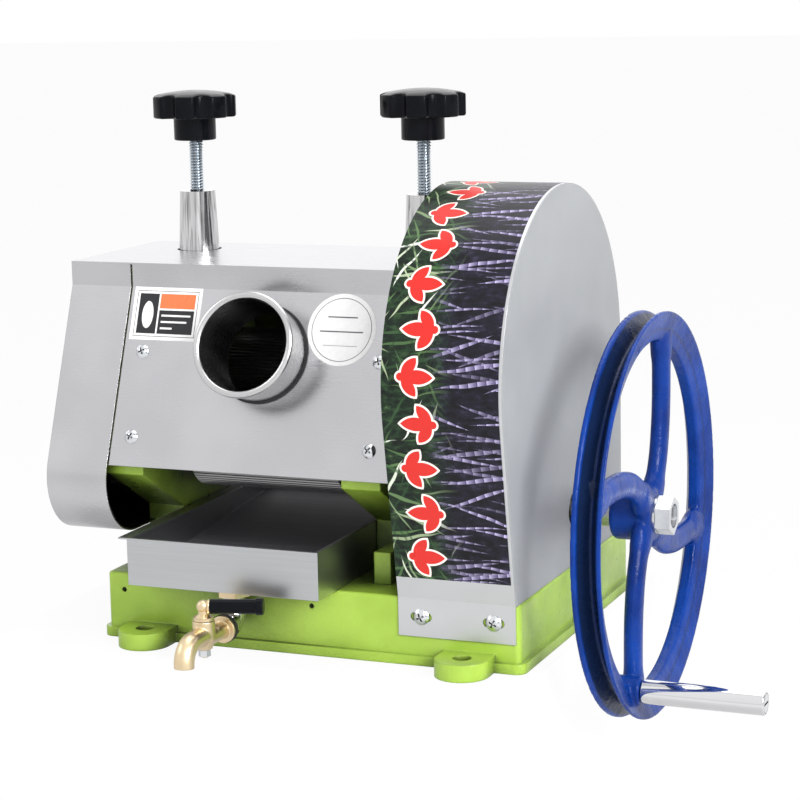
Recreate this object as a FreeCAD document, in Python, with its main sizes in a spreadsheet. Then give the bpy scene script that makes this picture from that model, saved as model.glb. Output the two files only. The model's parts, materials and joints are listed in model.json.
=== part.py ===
import FreeCAD, Part
import math
import os
import re

# A hand-cranked three-roller sugarcane mill. Millimetres, +Z up, +X towards the handwheel, -Y towards
# the side where the cane goes in. The origin is the centre of the four bench bolts, on the underside
# of the base.

SIZES = {
    # base casting
    "base_depth": 287.4,
    "base_height": 54.6,
    "base_wall": 8.0,
    "base_roof": 10.0,
    "base_corner": 4.5,
    "base_edge": 2.5,
    "skirt_height": 8.0,
    "skirt_out": 4.0,
    "lug_inset": 85.0,
    "lug_reach": 32.6,
    "lug_radius": 22.0,
    "lug_height": 13.8,
    "lug_hole": 15.0,
    "pilot_hole": 4.2,
    "pilot_height": 40.3,
    "pilot_inset": 15.7,
    "pilot_from_tray": 22.6,
    # side frames
    "frame_overhang": 3.45,
    "screw_spacing": 213.5,
    "screw_y": 18.5,
    "frame_thickness": 34.0,
    "frame_front": -60.0,
    "frame_back": 112.0,
    "frame_waist_front": 95.0,
    "frame_waist_back": 137.0,
    "nose_front": -131.0,
    "nose_bottom": 136.0,
    "nose_height": 11.0,
    "slope_start": 155.0,
    "toe_front": -113.0,
    "toe_top": 81.0,
    "toe_width": 14.4,
    "block_width": 50.0,
    "block_height": 50.0,
    "window_top": 259.0,
    "slide_clearance": 0.15,
    "foot_bolt_shift": 6.5,
    "foot_bolt_inset": 15.0,
    "foot_bolt_skew": 6.0,
    "bolt_hole": 10.2,
    "bolt_size": 10.0,
    "bolt_depth": 20.0,
    "bolt_head": 17.0,
    "bolt_head_height": 6.4,
    "bolt_edge": 1.0,
    "tie_drop": 27.8,
    "tie_inset": 22.0,
    # covers
    "sheet": 1.5,
    "cover_end_gap": 7.05,
    "cover_gap": 0.7,
    "cover_top": 307.8,
    "fold_front": -89.8,
    "fold_back": 67.5,
    "fold_drop": 20.1,
    "panel_inset": 8.95,
    "panel_foot": -143.7,
    "panel_bottom": 145.5,
    "back_foot": 131.0,
    "slit": 1.8,
    "curl_radius": 48.5,
    "curl_bottom": 81.0,
    "foot_clearance": 2.0,
    "outlet_width": 136.0,
    "outlet_bottom": 181.0,
    "outlet_top": 222.0,
    "panel_screw_inset": 1.5,
    "panel_screw_upper": 55.0,
    "panel_screw_lower": 127.3,
    "pan_head": 12.0,
    "pan_height": 3.4,
    "pan_shank": 6.0,
    "pan_length": 14.0,
    # feed tube and stickers
    "feed_shift": 11.2,
    "feed_down": 52.5,
    "feed_bore": 76.0,
    "feed_wall": 2.0,
    "feed_out": 38.0,
    "feed_in": 18.0,
    "feed_bead": 3.0,
    "ring_width": 1.8,
    "ring_thickness": 1.5,
    "sticker": 0.2,
    "notice_inset": 3.0,
    "notice_width": 63.0,
    "notice_height": 45.0,
    "seal_shift": 68.9,
    "seal_down": 29.9,
    "seal_diameter": 59.6,
    # rollers
    "top_roller_z": 199.3,
    "roller_diameter": 81.0,
    "roller_length": 134.0,
    "flute_count": 80,
    "flute_depth": 1.1,
    "front_roller_y": -53.0,
    "rear_roller_y": 78.0,
    "journal": 30.0,
    "shaft_body": 36.0,
    "seat": 24.0,
    "shaft_thread": 20.0,
    "bush_wall": 4.0,
    "bush_flange": 3.0,
    "running": 0.05,
    "end_play": 0.3,
    # gears
    "gear_module": 4.0,
    "pressure_angle": 25.0,
    "addendum": 0.9,
    "dedendum": 1.2,
    "backlash": 0.5,
    "roller_backlash": 1.3,
    "tight_flank": 0.13,
    "roller_teeth": 21,
    "roller_gear_width": 24.0,
    "roller_gear_gap": 9.0,
    "pinion_teeth": 11,
    "pinion_width": 32.0,
    "bull_teeth": 39,
    "bull_width": 28.0,
    "bull_gap": 27.0,
    "hub_wall": 8.0,
    "nut_height": 9.0,
    "nut_across": 30.0,
    # turner plate and outlet chute
    "turner_gap": 6.0,
    "turner_thickness": 5.5,
    "turner_start": 242.0,
    "turner_end": 286.0,
    "turner_bar_width": 16.0,
    "turner_bar_bottom": 115.0,
    "chute_width": 126.0,
    "chute_reach": 152.0,
    "chute_drop": 16.0,
    "chute_cheek": 14.0,
    "chute_cheek_run": 14.0,
    # gear guard
    "guard_gap": 19.15,
    "guard_width": 100.0,
    "guard_edge": 1.8,
    "guard_sheet": 1.2,
    "arch_y": -19.8,
    "arch_z": 221.5,
    "arch_radius": 151.4,
    "apron_bottom": 23.2,
    "slot_length": 18.0,
    "slot_height": 7.0,
    "slot_drop": 15.1,
    "outlet_hole_lead": 12.0,
    "outlet_hole_depth": 60.0,
    "slot_inset": 19.5,
    "guard_head": 13.5,
    "film": 0.2,
    "film_bottom": 72.0,
    "film_border": 3.6,
    # pressure screws, sleeves and knobs
    "sleeve_foot": 35.5,
    "sleeve_crown": 30.5,
    "sleeve_rise": 51.2,
    "sleeve_bore": 13.6,
    "sleeve_hole": 39.0,
    "screw_size": 12.7,
    "screw_pitch": 2.117,
    "thread_depth": 1.1,
    "thread_below": 12.0,
    "knob_diameter": 72.5,
    "knob_hub": 36.5,
    "screw_shown": 44.0,
    "right_knob_lift": 1.5,
    "knob_hub_height": 19.5,
    "knob_lobe_height": 19.0,
    "knob_dome": 4.5,
    "knob_lobes": 7,
    "knob_scallop": 9.0,
    "knob_edge": 1.8,
    # juice tray, drain and tap
    "tray_left_gap": 9.15,
    "tray_right_gap": 0.55,
    "tray_overhang": 35.7,
    "tray_back": 100.0,
    "tray_rim": 94.0,
    "tray_sheet": 1.2,
    "tray_clearance": 0.4,
    "floor_front": 57.5,
    "floor_back": 81.0,
    "hem": 2.8,
    "tray_lip": 8.0,
    "drain_inset": 21.4,
    "drain_pipe": 19.0,
    "drain_bore": 14.0,
    "drain_nut_across": 25.0,
    "drain_nut_height": 7.0,
    "elbow_radius": 11.0,
    "tap_level": 25.0,
    "elbow_reach": 18.0,
    "tap_ring": 22.4,
    "tap_ring_thickness": 3.0,
    "tap_barrel": 13.6,
    "plug_reach": 37.0,
    "plug_diameter": 10.0,
    "plug_wall": 4.0,
    "plug_taper": 8.0,
    "plug_stem": 5.0,
    "plug_cap": 16.4,
    "plug_cap_height": 2.4,
    "plug_housing_bottom": 18.0,
    "plug_housing_top": 41.3,
    "waterway": 6.0,
    "spout_reach": 34.0,
    "spout_diameter": 16.2,
    "spout_bend": 15.0,
    "spout_level": 29.5,
    "spout_bottom": 11.5,
    "ball_diameter": 10.6,
    "ball_level": 52.5,
    "collar_diameter": 11.4,
    "collar_start": 3.6,
    "collar_length": 2.2,
    "grip_diameter": 11.8,
    "grip_end": 48.4,
    "grip_collar": 13.6,
    "grip_collar_length": 6.5,
    "lever_angle": 17.0,
    "plug_nut_across": 8.6,
    "plug_nut_height": 5.6,
    # drive shaft, its bearings and the handwheel
    "drive_y": 0.0,
    "drive_shaft": 24.0,
    "drive_bush_wall": 5.0,
    "bracket_inset": 59.3,
    "bracket_width": 28.0,
    "bracket_foot": 90.0,
    "bracket_foot_height": 12.0,
    "bracket_head": 52.0,
    "guard_shaft_hole": 30.0,
    "wheel_gap": 50.1,
    "wheel_width": 25.2,
    "wheel_diameter": 334.0,
    "rim_bore": 286.0,
    "groove_depth": 15.0,
    "groove_floor": 3.5,
    "flange_edge": 4.0,
    "rim_bore_width": 9.0,
    "hub_gap": 35.3,
    "hub_length": 35.0,
    "hub_diameter": 44.0,
    "wheel_seat": 20.0,
    "arm_thickness": 13.5,
    "arm_width": 19.0,
    "washer_diameter": 31.0,
    "washer_thickness": 2.5,
    "wheel_nut_across": 28.0,
    "wheel_nut_height": 12.5,
    "shaft_recess": 4.0,
    "key_size": 6.0,
    # crank handle
    "handle_circle": 145.5,
    "handle_angle": 205.5,
    "handle_boss": 24.0,
    "handle_boss_height": 1.2,
    "handle_pin": 12.0,
    "handle_tube": 19.5,
    "handle_length": 101.0,
    "handle_gap": 0.4,
    "handle_head": 15.6,
    "handle_head_height": 3.0,
}

# Places that follow from the sizes, each a sum of sizes, halves of them and earlier places.
PLACES = {
    "base_width": "screw_spacing + frame_thickness + guard_gap + guard_width + guard_edge - frame_overhang",
    "lug_spacing_x": "base_width - lug_inset",
    "lug_spacing_y": "base_depth + lug_reach",
    "mill_x": "screw_spacing / 2 + frame_thickness / 2 - base_width / 2 - frame_overhang",
    "left_side": "mill_x - screw_spacing / 2 - frame_thickness / 2",
    "right_side": "mill_x + screw_spacing / 2 + frame_thickness / 2",
    "tie_height": "cover_top - tie_drop",
    "cover_left": "left_side - roller_gear_gap - roller_gear_width - nut_height - cover_end_gap",
    "cover_right": "right_side + guard_gap - cover_gap",
    "fold_height": "cover_top - fold_drop",
    "slot_level": "base_height - slot_drop",
    "panel_left": "left_side + panel_inset",
    "feed_x": "mill_x + feed_shift",
    "notice_left": "panel_left + notice_inset",
    "seal_x": "feed_x + seal_shift",
    "guard_left": "right_side + guard_gap",
    "guard_right": "guard_left + guard_width",
    "sleeve_top": "cover_top + sleeve_rise",
    "thread_start": "sleeve_top - thread_below",
    "knob_bottom": "sleeve_top + screw_shown",
    "tray_left": "left_side + frame_thickness + tray_left_gap",
    "tray_right": "right_side - frame_thickness - tray_right_gap",
    "tray_front": "- base_depth / 2 - tray_overhang",
    "pilot_left_x": "- base_width / 2 + pilot_inset",
    "pilot_right_x": "tray_right - pilot_from_tray",
    "drain_y": "tray_front + drain_inset",
    "elbow_end": "drain_y - elbow_reach",
    "plug_y": "elbow_end - plug_reach",
    "bracket_left": "guard_left + bracket_inset",
    "wheel_inner_face": "guard_right + wheel_gap",
    "hub_left": "guard_right + hub_gap",
    "hub_right": "hub_left + hub_length",
}

Vector = FreeCAD.Vector
ORIGIN = Vector(0, 0, 0)
X_AXIS = Vector(1, 0, 0)
Y_AXIS = Vector(0, 1, 0)
Z_AXIS = Vector(0, 0, 1)

doc = FreeCAD.newDocument("sugarcane_juicer")
sheet = doc.addObject("Spreadsheet::Sheet", "Sizes")
for row, (alias, value) in enumerate(SIZES.items(), start=1):
    sheet.set(f"A{row}", alias)
    sheet.set(f"B{row}", str(value))
    sheet.setAlias(f"B{row}", alias)
doc.recompute()


class SheetValues:
    """Reads each cell of the sheet by its alias, and each place by adding up its sum."""

    def __getattr__(self, name):
        if name not in PLACES:
            return float(sheet.get(name))
        terms = re.findall(r"(-?) ?([a-z]\w+)( / 2)?", PLACES[name])
        return sum((-1 if minus else 1) * getattr(self, term) / (2 if half else 1)
                   for minus, term, half in terms)


v = SheetValues()
nodes = {}


# ---- document helpers ----

def tied(text):
    """An expression whose words are looked up in the sheet, or are places spelt out in sizes."""
    def cell(found):
        word = found.group()
        if word in PLACES:
            return "(" + tied(PLACES[word]) + ")"
        return "Sizes." + word if word in SIZES else word
    return re.sub(r"[a-z]\w+", cell, text)


def bind(item, **expressions):
    for name, text in expressions.items():
        item.setExpression(name.replace("__", "."), tied(text))
    return item


def place(item, x="0", y="0", z="0"):
    """Ties the item's position to the sheet."""
    return bind(item, Placement__Base__x=x, Placement__Base__y=y, Placement__Base__z=z)


def node(label, item):
    """Names a finished sub-part."""
    item.Label = label
    nodes[label] = item
    return item


def cylinder(name, diameter, length, at=("0", "0", "0"), axis=Z_AXIS):
    item = doc.addObject("Part::Cylinder", name)
    item.Placement = FreeCAD.Placement(ORIGIN, FreeCAD.Rotation(Z_AXIS, axis))
    bind(item, Radius=f"({diameter}) / 2", Height=length)
    return place(item, *at)


def box(name, length, width, height, at=("0", "0", "0")):
    item = doc.addObject("Part::Box", name)
    bind(item, Length=length, Width=width, Height=height)
    return place(item, *at)


def prism(name, across_flats, height, at=("0", "0", "0"), axis=Z_AXIS):
    """A hexagonal prism, measured across its flats."""
    item = doc.addObject("Part::Prism", name)
    item.Polygon = 6
    item.Placement = FreeCAD.Placement(ORIGIN, FreeCAD.Rotation(Z_AXIS, axis))
    bind(item, Circumradius=f"({across_flats}) / 2 / cos(30deg)", Height=height)
    return place(item, *at)


def fuse(name, *items):
    if len(items) == 1:
        return items[0]
    item = doc.addObject("Part::MultiFuse", name)
    item.Shapes = list(items)
    return item


def cut(name, base, *tools):
    item = doc.addObject("Part::Cut", name)
    item.Base = base
    item.Tool = fuse(name + "_tools", *tools)
    return item


def group(name, *items):
    """Identical fasteners kept as separate solids of one sub-part."""
    item = doc.addObject("Part::Compound", name)
    item.Links = list(items)
    return item


def shape_feature(name, shape, position=ORIGIN, rotation=None):
    item = doc.addObject("Part::Feature", name)
    item.Shape = shape
    item.Placement = FreeCAD.Placement(position, rotation or FreeCAD.Rotation())
    return item


def polygon(points):
    """Sketch lines round a closed outline."""
    pairs = zip(points, points[1:] + points[:1])
    return [Part.LineSegment(Vector(*a, 0), Vector(*b, 0)) for a, b in pairs]


def chain(*steps):
    """Sketch edges round a closed outline: two points are a line, three are an arc."""
    edges = []
    for step in steps:
        points = [Vector(*point, 0) for point in step]
        edges.append(Part.Arc(*points) if len(points) == 3 else Part.LineSegment(*points))
    return edges


def circle(x, y, diameter):
    return [Part.Circle(Vector(x, y, 0), Z_AXIS, diameter / 2)]


def rectangle(x0, y0, x1, y1):
    return polygon([(x0, y0), (x1, y0), (x1, y1), (x0, y1)])


def rounded(x0, y0, x1, y1, r):
    """A rectangle with round corners."""
    c = r * (1 - math.sqrt(0.5))
    return chain(
        ((x0 + r, y0), (x1 - r, y0)), ((x1 - r, y0), (x1 - c, y0 + c), (x1, y0 + r)),
        ((x1, y0 + r), (x1, y1 - r)), ((x1, y1 - r), (x1 - c, y1 - c), (x1 - r, y1)),
        ((x1 - r, y1), (x0 + r, y1)), ((x0 + r, y1), (x0 + c, y1 - c), (x0, y1 - r)),
        ((x0, y1 - r), (x0, y0 + r)), ((x0, y0 + r), (x0 + c, y0 + c), (x0 + r, y0)))


def new_body(name):
    return doc.addObject("PartDesign::Body", name)


def sketch(body, role, loops, offset="0"):
    """A sketch on one of the body's origin planes, moved along the plane's normal."""
    drawn = body.newObject("Sketcher::SketchObject", body.Name + "_sketch")
    plane = next(item for item in body.Origin.OriginFeatures if item.Role == role)
    drawn.AttachmentSupport = (plane, [""])
    drawn.MapMode = "FlatFace"
    drawn.setExpression("AttachmentOffset.Base.z", tied(offset))
    for loop in loops:
        for edge in loop:
            drawn.addGeometry(edge, False)
    return drawn


def pad(body, drawn, length):
    feature = body.newObject("PartDesign::Pad", body.Name + "_pad")
    feature.Profile = drawn
    return bind(feature, Length=length)


def pocket(body, drawn, length, along_normal=False):
    """Cuts against the plane's normal, or along it."""
    feature = body.newObject("PartDesign::Pocket", body.Name + "_pocket")
    feature.Profile = drawn
    feature.Reversed = along_normal
    return bind(feature, Length=length)


def revolution(body, drawn):
    """Turns a profile about the sketch's upright axis."""
    feature = body.newObject("PartDesign::Revolution", body.Name + "_revolution")
    feature.Profile = drawn
    feature.ReferenceAxis = (drawn, ["V_Axis"])
    feature.Angle = 360
    return feature


def fillet(body, feature, radius, wanted):
    """Rounds the edges that the test picks."""
    doc.recompute()
    names = [f"Edge{i}" for i, edge in enumerate(feature.Shape.Edges, start=1) if wanted(edge)]
    rounding = body.newObject("PartDesign::Fillet", body.Name + "_fillet")
    rounding.Base = (feature, names)
    return bind(rounding, Radius=radius)


# ---- shared geometry, worked out from the sheet ----

LEFT_MID = "(mill_x - screw_spacing / 2)"
RIGHT_MID = "(mill_x + screw_spacing / 2)"
LEFT_OUTER = "(mill_x - screw_spacing / 2 - frame_thickness / 2)"
LEFT_INNER = "(mill_x - screw_spacing / 2 + frame_thickness / 2)"
RIGHT_INNER = "(mill_x + screw_spacing / 2 - frame_thickness / 2)"
RIGHT_OUTER = "(mill_x + screw_spacing / 2 + frame_thickness / 2)"
GEAR_RIGHT = f"({LEFT_OUTER} - roller_gear_gap)"
GEAR_LEFT = f"({LEFT_OUTER} - roller_gear_gap - roller_gear_width)"
BULL_LEFT = f"({RIGHT_OUTER} + bull_gap)"
BULL_RIGHT = f"({RIGHT_OUTER} + bull_gap + bull_width)"
FRAME_TOP = "(cover_top - 2 * sheet)"
DRIVE_REACH = "(gear_module * (pinion_teeth + bull_teeth) / 2)"
DRIVE_Z = f"(top_roller_z - sqrt(pow({DRIVE_REACH}; 2) - pow(screw_y - drive_y; 2)))"
ROLLER_REACH = "(gear_module * roller_teeth)"
FRONT_Z = f"(top_roller_z - sqrt(pow({ROLLER_REACH}; 2) - pow(screw_y - front_roller_y; 2)))"
REAR_Z = f"(top_roller_z - sqrt(pow({ROLLER_REACH}; 2) - pow(rear_roller_y - screw_y; 2)))"
BUSH_OUTER = "(journal + 2 * bush_wall)"
DRIVE_BUSH_OUTER = "(drive_shaft + 2 * drive_bush_wall)"
DRAIN_X = "((tray_left + tray_right) / 2)"

left_mid = v.mill_x - v.screw_spacing / 2
right_mid = v.mill_x + v.screw_spacing / 2
left_outer = left_mid - v.frame_thickness / 2
left_inner = left_mid + v.frame_thickness / 2
right_inner = right_mid - v.frame_thickness / 2
right_outer = right_mid + v.frame_thickness / 2
frame_top = v.cover_top - 2 * v.sheet
drive_reach = v.gear_module * (v.pinion_teeth + v.bull_teeth) / 2
drive_z = v.top_roller_z - math.sqrt(drive_reach ** 2 - (v.screw_y - v.drive_y) ** 2)
roller_reach = v.gear_module * v.roller_teeth
front_z = v.top_roller_z - math.sqrt(roller_reach ** 2 - (v.screw_y - v.front_roller_y) ** 2)
rear_z = v.top_roller_z - math.sqrt(roller_reach ** 2 - (v.rear_roller_y - v.screw_y) ** 2)
bush_outer = v.journal + 2 * v.bush_wall
drive_bush_outer = v.drive_shaft + 2 * v.drive_bush_wall
drain_x = (v.tray_left + v.tray_right) / 2

front_run = (v.fold_front - v.panel_foot) / (v.fold_height - v.panel_bottom)
back_run = (v.back_foot - v.fold_back) / (v.fold_height - v.panel_bottom)
panel_tilt = math.atan(front_run)
back_tilt = math.atan(back_run)
panel_normal = Vector(0, -math.cos(panel_tilt), math.sin(panel_tilt))
back_normal = Vector(0, math.cos(back_tilt), math.sin(back_tilt))
down_panel = Vector(0, -math.sin(panel_tilt), -math.cos(panel_tilt))
down_back = Vector(0, math.sin(back_tilt), -math.cos(back_tilt))


def front_y(z, depth=0.0):
    """Y on the sloped front at a height, a depth below its outer skin."""
    return v.fold_front - (v.fold_height - z) * front_run + depth / math.cos(panel_tilt)


def back_y(z, depth=0.0):
    """Y on the sloped back at a height, a depth below its outer skin."""
    return v.fold_back + (v.fold_height - z) * back_run - depth / math.cos(back_tilt)


def fold_z(tilt, depth):
    """Height where the skin's inner face folds from upright to sloped."""
    return v.fold_height - depth * math.tan(tilt / 2)


def on_panel(x, down, out=0.0):
    """A point on the sloped front: its x, its distance below the fold and its height off the skin."""
    return Vector(x, v.fold_front, v.fold_height) + down_panel * down + panel_normal * out


# ---- base ----

def base_casting():
    body = new_body("base_body")
    half_x, half_y = v.base_width / 2, v.base_depth / 2
    pad(body, sketch(body, "XY_Plane", [rounded(-half_x, -half_y, half_x, half_y, v.base_corner)]),
        "base_height")
    skirt_x, skirt_y = half_x + v.skirt_out, half_y + v.skirt_out
    skirt = rounded(-skirt_x, -skirt_y, skirt_x, skirt_y, v.base_corner + v.skirt_out)
    pad(body, sketch(body, "XY_Plane", [skirt]), "skirt_height")
    lugs, bolt_holes = [], []
    for sx in (-1, 1):
        for sy in (-1, 1):
            x, y = sx * v.lug_spacing_x / 2, sy * v.lug_spacing_y / 2
            root, r = sy * (half_y - v.base_wall / 2), v.lug_radius
            lugs.append(chain(((x - r, root), (x - r, y)), ((x - r, y), (x, y + sy * r), (x + r, y)),
                              ((x + r, y), (x + r, root)), ((x + r, root), (x - r, root))))
            bolt_holes.append(circle(x, y, v.lug_hole))
    lug_pad = pad(body, sketch(body, "XY_Plane", lugs), "lug_height")
    top_edges = fillet(body, lug_pad, "base_edge", lambda edge: on_top_edge(edge, half_x, half_y))
    inner = rounded(-half_x + v.base_wall, -half_y + v.base_wall, half_x - v.base_wall,
                    half_y - v.base_wall, v.base_corner)
    pocket(body, sketch(body, "XY_Plane", [inner]), "base_height - base_roof", along_normal=True)
    pocket(body, sketch(body, "XY_Plane", bolt_holes), "lug_height", along_normal=True)
    roof = [circle(x, y, v.bolt_hole) for x, y, _ in upright_bolts()]
    pocket(body, sketch(body, "XY_Plane", roof), "base_height", along_normal=True)
    pilots = [circle(x, v.pilot_height, v.pilot_hole) for x in (v.pilot_left_x, v.pilot_right_x)]
    guard = [circle(x, v.slot_level, v.pan_shank) for x in guard_screw_x()]
    pocket(body, sketch(body, "XZ_Plane", pilots + guard, "base_depth / 2"), "base_wall")
    body.Tip = body.Group[-1]
    node("base_casting", body)
    return top_edges


def on_top_edge(edge, half_x, half_y):
    """True for the outer edges of the base's roof."""
    box_ = edge.BoundBox
    level = abs(box_.ZMin - v.base_height) < 0.01 and abs(box_.ZMax - v.base_height) < 0.01
    return level and (box_.XMax > half_x - 0.01 or box_.XMin < 0.01 - half_x
                      or box_.YMax > half_y - 0.01 or box_.YMin < 0.01 - half_y)


def guard_screw_x():
    return v.guard_left + v.slot_inset, v.guard_left + v.guard_width - v.slot_inset


def upright_bolts():
    """x, y and the height of the head's seat of each bolt through the base's roof."""
    under = v.base_height - v.base_roof
    frame_y = [v.frame_front + v.foot_bolt_inset, (v.frame_front + v.frame_back) / 2 - v.foot_bolt_skew,
               v.frame_back - v.foot_bolt_inset]
    found = [(mid + v.foot_bolt_shift, y, under) for mid in (left_mid, right_mid) for y in frame_y]
    x = v.bracket_left + v.bracket_width / 2
    return found + [(x, y, v.base_height + v.bracket_foot_height) for y in bracket_bolt_y()]


def bracket_bolt_y():
    reach = v.bracket_foot / 2 - v.bolt_head / 2 - v.bolt_edge
    return v.drive_y - reach, v.drive_y + reach


# ---- side frames ----

def side_frame(label, mid, has_drive_bush):
    """A cast cheek: sloped like the cover, with a window for the sliding block and bores for bushes."""
    body = new_body(label + "_body")
    outline = [
        (v.frame_front, v.base_height), (v.frame_front, v.frame_waist_front),
        (v.nose_front, v.nose_bottom), (v.nose_front, v.nose_bottom + v.nose_height),
        (front_y(v.slope_start, v.sheet), v.slope_start),
        (v.fold_front + v.sheet, fold_z(panel_tilt, v.sheet)), (v.fold_front + v.sheet, frame_top),
        (v.fold_back - v.sheet, frame_top), (v.fold_back - v.sheet, fold_z(back_tilt, v.sheet)),
        (back_y(v.frame_waist_back + v.nose_height, v.sheet), v.frame_waist_back + v.nose_height),
        (v.frame_back, v.frame_waist_back), (v.frame_back, v.base_height)]
    half = v.block_width / 2 + v.slide_clearance
    window = rectangle(v.screw_y - half, v.top_roller_z - v.block_height / 2, v.screw_y + half,
                       v.window_top)
    holes = [circle(v.front_roller_y, front_z, bush_outer), circle(v.rear_roller_y, rear_z, bush_outer),
             circle(v.screw_y, turner_bolt_z(), v.bolt_hole)]
    holes += [circle(y, v.tie_height, v.bolt_hole) for y in tie_y()]
    if has_drive_bush:
        holes.append(circle(v.drive_y, drive_z, drive_bush_outer))
    pad(body, sketch(body, "YZ_Plane", [polygon(outline), window] + holes), "frame_thickness")
    toe = rectangle(v.toe_front, v.base_height, v.frame_front, v.toe_top)
    pad(body, sketch(body, "YZ_Plane", [toe], "frame_thickness - toe_width"), "toe_width")
    middle = v.frame_thickness / 2
    left_feet = [y for x, y, _ in upright_bolts() if x < right_inner - v.screw_spacing / 2]
    feet = [circle(middle + v.foot_bolt_shift, y, v.bolt_size) for y in left_feet]
    pocket(body, sketch(body, "XY_Plane", feet, "base_height"), "bolt_depth", along_normal=True)
    bore = circle(middle, v.screw_y, v.screw_size + 2 * v.running)
    body.Tip = pocket(body, sketch(body, "XY_Plane", [bore], FRAME_TOP), f"{FRAME_TOP} - window_top")
    place(body, x=f"{mid} - frame_thickness / 2")
    centre = float(left_mid if label.startswith("left") else right_mid)
    taps = [Part.makeCylinder(v.pan_shank / 2, v.pan_length + 1, spot, normal * -1)
            for spot, normal in panel_screw_spots() if abs(spot.x - centre) < v.frame_thickness / 2]
    tool = shape_feature(label + "_taps", Part.makeCompound(taps))
    node(label, cut(label, body, tool))


def turner_bolt_z():
    """Height of the bolts that hold the turner plate's bar."""
    return (v.turner_bar_bottom + turner_bar_top()) / 2


def turner_bar_top():
    return v.top_roller_z - v.roller_diameter / 2 - v.turner_gap - v.turner_thickness / 2


def tie_y():
    return v.fold_front + v.tie_inset, v.fold_back - v.tie_inset


def hex_bolt(name, at, axis, shank_length):
    """A bolt whose head sits behind the given point, its shank along the axis."""
    head = prism(name + "_head", "bolt_head", "bolt_head_height", at, axis * -1)
    shank = cylinder(name + "_shank", "bolt_size", shank_length, at, axis)
    return fuse(name, head, shank)


def number(value):
    """A worked-out value as expression text."""
    return f"{value:.9f}"


def casting_bolts():
    bolts = []
    for i, (x, y, seat) in enumerate(upright_bolts()):
        up = seat < v.base_height
        length = "base_roof + bolt_depth - 1" if up else "bracket_foot_height + base_roof + 6"
        bolts.append(hex_bolt(f"bolt_{i}", (number(x), number(y), number(seat)),
                              Z_AXIS if up else Z_AXIS * -1, length))
    z = number(turner_bolt_z())
    reach = "frame_thickness + bolt_depth - 1"
    bolts.append(hex_bolt("turner_bolt_left", (LEFT_OUTER, "screw_y", z), X_AXIS, reach))
    bolts.append(hex_bolt("turner_bolt_right", (RIGHT_OUTER, "screw_y", z), X_AXIS * -1, reach))
    node("casting_bolts", group("casting_bolts", *bolts))


def tie_bolts():
    """Two long bolts across the frames, each with its nut on the left."""
    solids = []
    for i, y in enumerate(tie_y()):
        at = (RIGHT_OUTER, number(y), "tie_height")
        length = f"{RIGHT_OUTER} - {LEFT_OUTER} + bolt_head_height"
        solids.append(hex_bolt(f"tie_{i}", at, X_AXIS * -1, length))
        start = (LEFT_OUTER, number(y), "tie_height")
        nut = prism(f"tie_nut_{i}", "bolt_head", "bolt_head_height", start, X_AXIS * -1)
        bore = cylinder(f"tie_nut_bore_{i}", "bolt_size", "bolt_head_height", start, X_AXIS * -1)
        solids.append(cut(f"tie_nut_cut_{i}", nut, bore))
    node("tie_bolts", group("tie_bolts", *solids))


# ---- sheet covers ----

def sloped_strip(edge_y, run_y, tilt, side):
    """Upright fold and slope of a cover as one strip; side is -1 at the front and 1 at the back."""
    inner = edge_y - side * v.sheet
    return polygon([(edge_y, v.cover_top - v.sheet), (edge_y, v.fold_height),
                    (run_y(v.panel_bottom), v.panel_bottom),
                    (run_y(v.panel_bottom, v.sheet), v.panel_bottom), (inner, fold_z(tilt, v.sheet)),
                    (inner, v.cover_top - v.sheet)])


def top_cover():
    """One bent sheet: top plate over the whole mill, sloped front and sloped back."""
    body = new_body("top_cover_body")
    top = rectangle(v.fold_front, v.cover_top - v.sheet, v.fold_back, v.cover_top)
    pad(body, sketch(body, "YZ_Plane", [top], "cover_left"), "cover_right - cover_left")
    front = sloped_strip(v.fold_front, front_y, panel_tilt, -1)
    pad(body, sketch(body, "YZ_Plane", [front], "panel_left"), "cover_right - panel_left")
    back = sloped_strip(v.fold_back, back_y, back_tilt, 1)
    pad(body, sketch(body, "YZ_Plane", [back], "panel_left"), "cover_right - panel_left")
    tools = [cylinder("sleeve_hole_" + side, "sleeve_hole", "4 * sheet",
                      (mid, "screw_y", "cover_top - 3 * sheet"))
             for side, mid in (("left", LEFT_MID), ("right", RIGHT_MID))]
    outlet_start = number(back_y(v.outlet_top) - v.outlet_hole_lead)
    tools.append(box("outlet_hole", "outlet_width", "outlet_hole_depth", "outlet_top - outlet_bottom",
                     ("mill_x - outlet_width / 2", outlet_start, "outlet_bottom")))
    feed = Part.makeCylinder(v.feed_bore / 2 + v.feed_wall, 8 * v.sheet,
                             on_panel(v.feed_x, v.feed_down, -4 * v.sheet), panel_normal)
    tools.append(shape_feature("feed_hole", feed))
    for i, (spot, normal) in enumerate(panel_screw_spots()):
        hole = Part.makeCylinder(v.pan_shank / 2 + 0.2, 4 * v.sheet, spot - normal * 2 * v.sheet, normal)
        tools.append(shape_feature(f"screw_hole_{i}", hole))
    node("top_cover", cut("top_cover", body, *tools))


def panel_screw_spots():
    """Seat and outward direction of every screw through the sloped sheets into the frames."""
    inset = v.frame_thickness / 2 - v.panel_screw_inset - v.pan_head / 2
    columns = (left_mid + inset, right_mid + inset)
    spots = [(on_panel(x, down), panel_normal) for x in columns
             for down in (v.panel_screw_upper, v.panel_screw_lower)]
    back = Vector(0, v.fold_back, v.fold_height) + down_back * v.panel_screw_upper
    return spots + [(Vector(x, back.y, back.z), back_normal) for x in columns]


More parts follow.
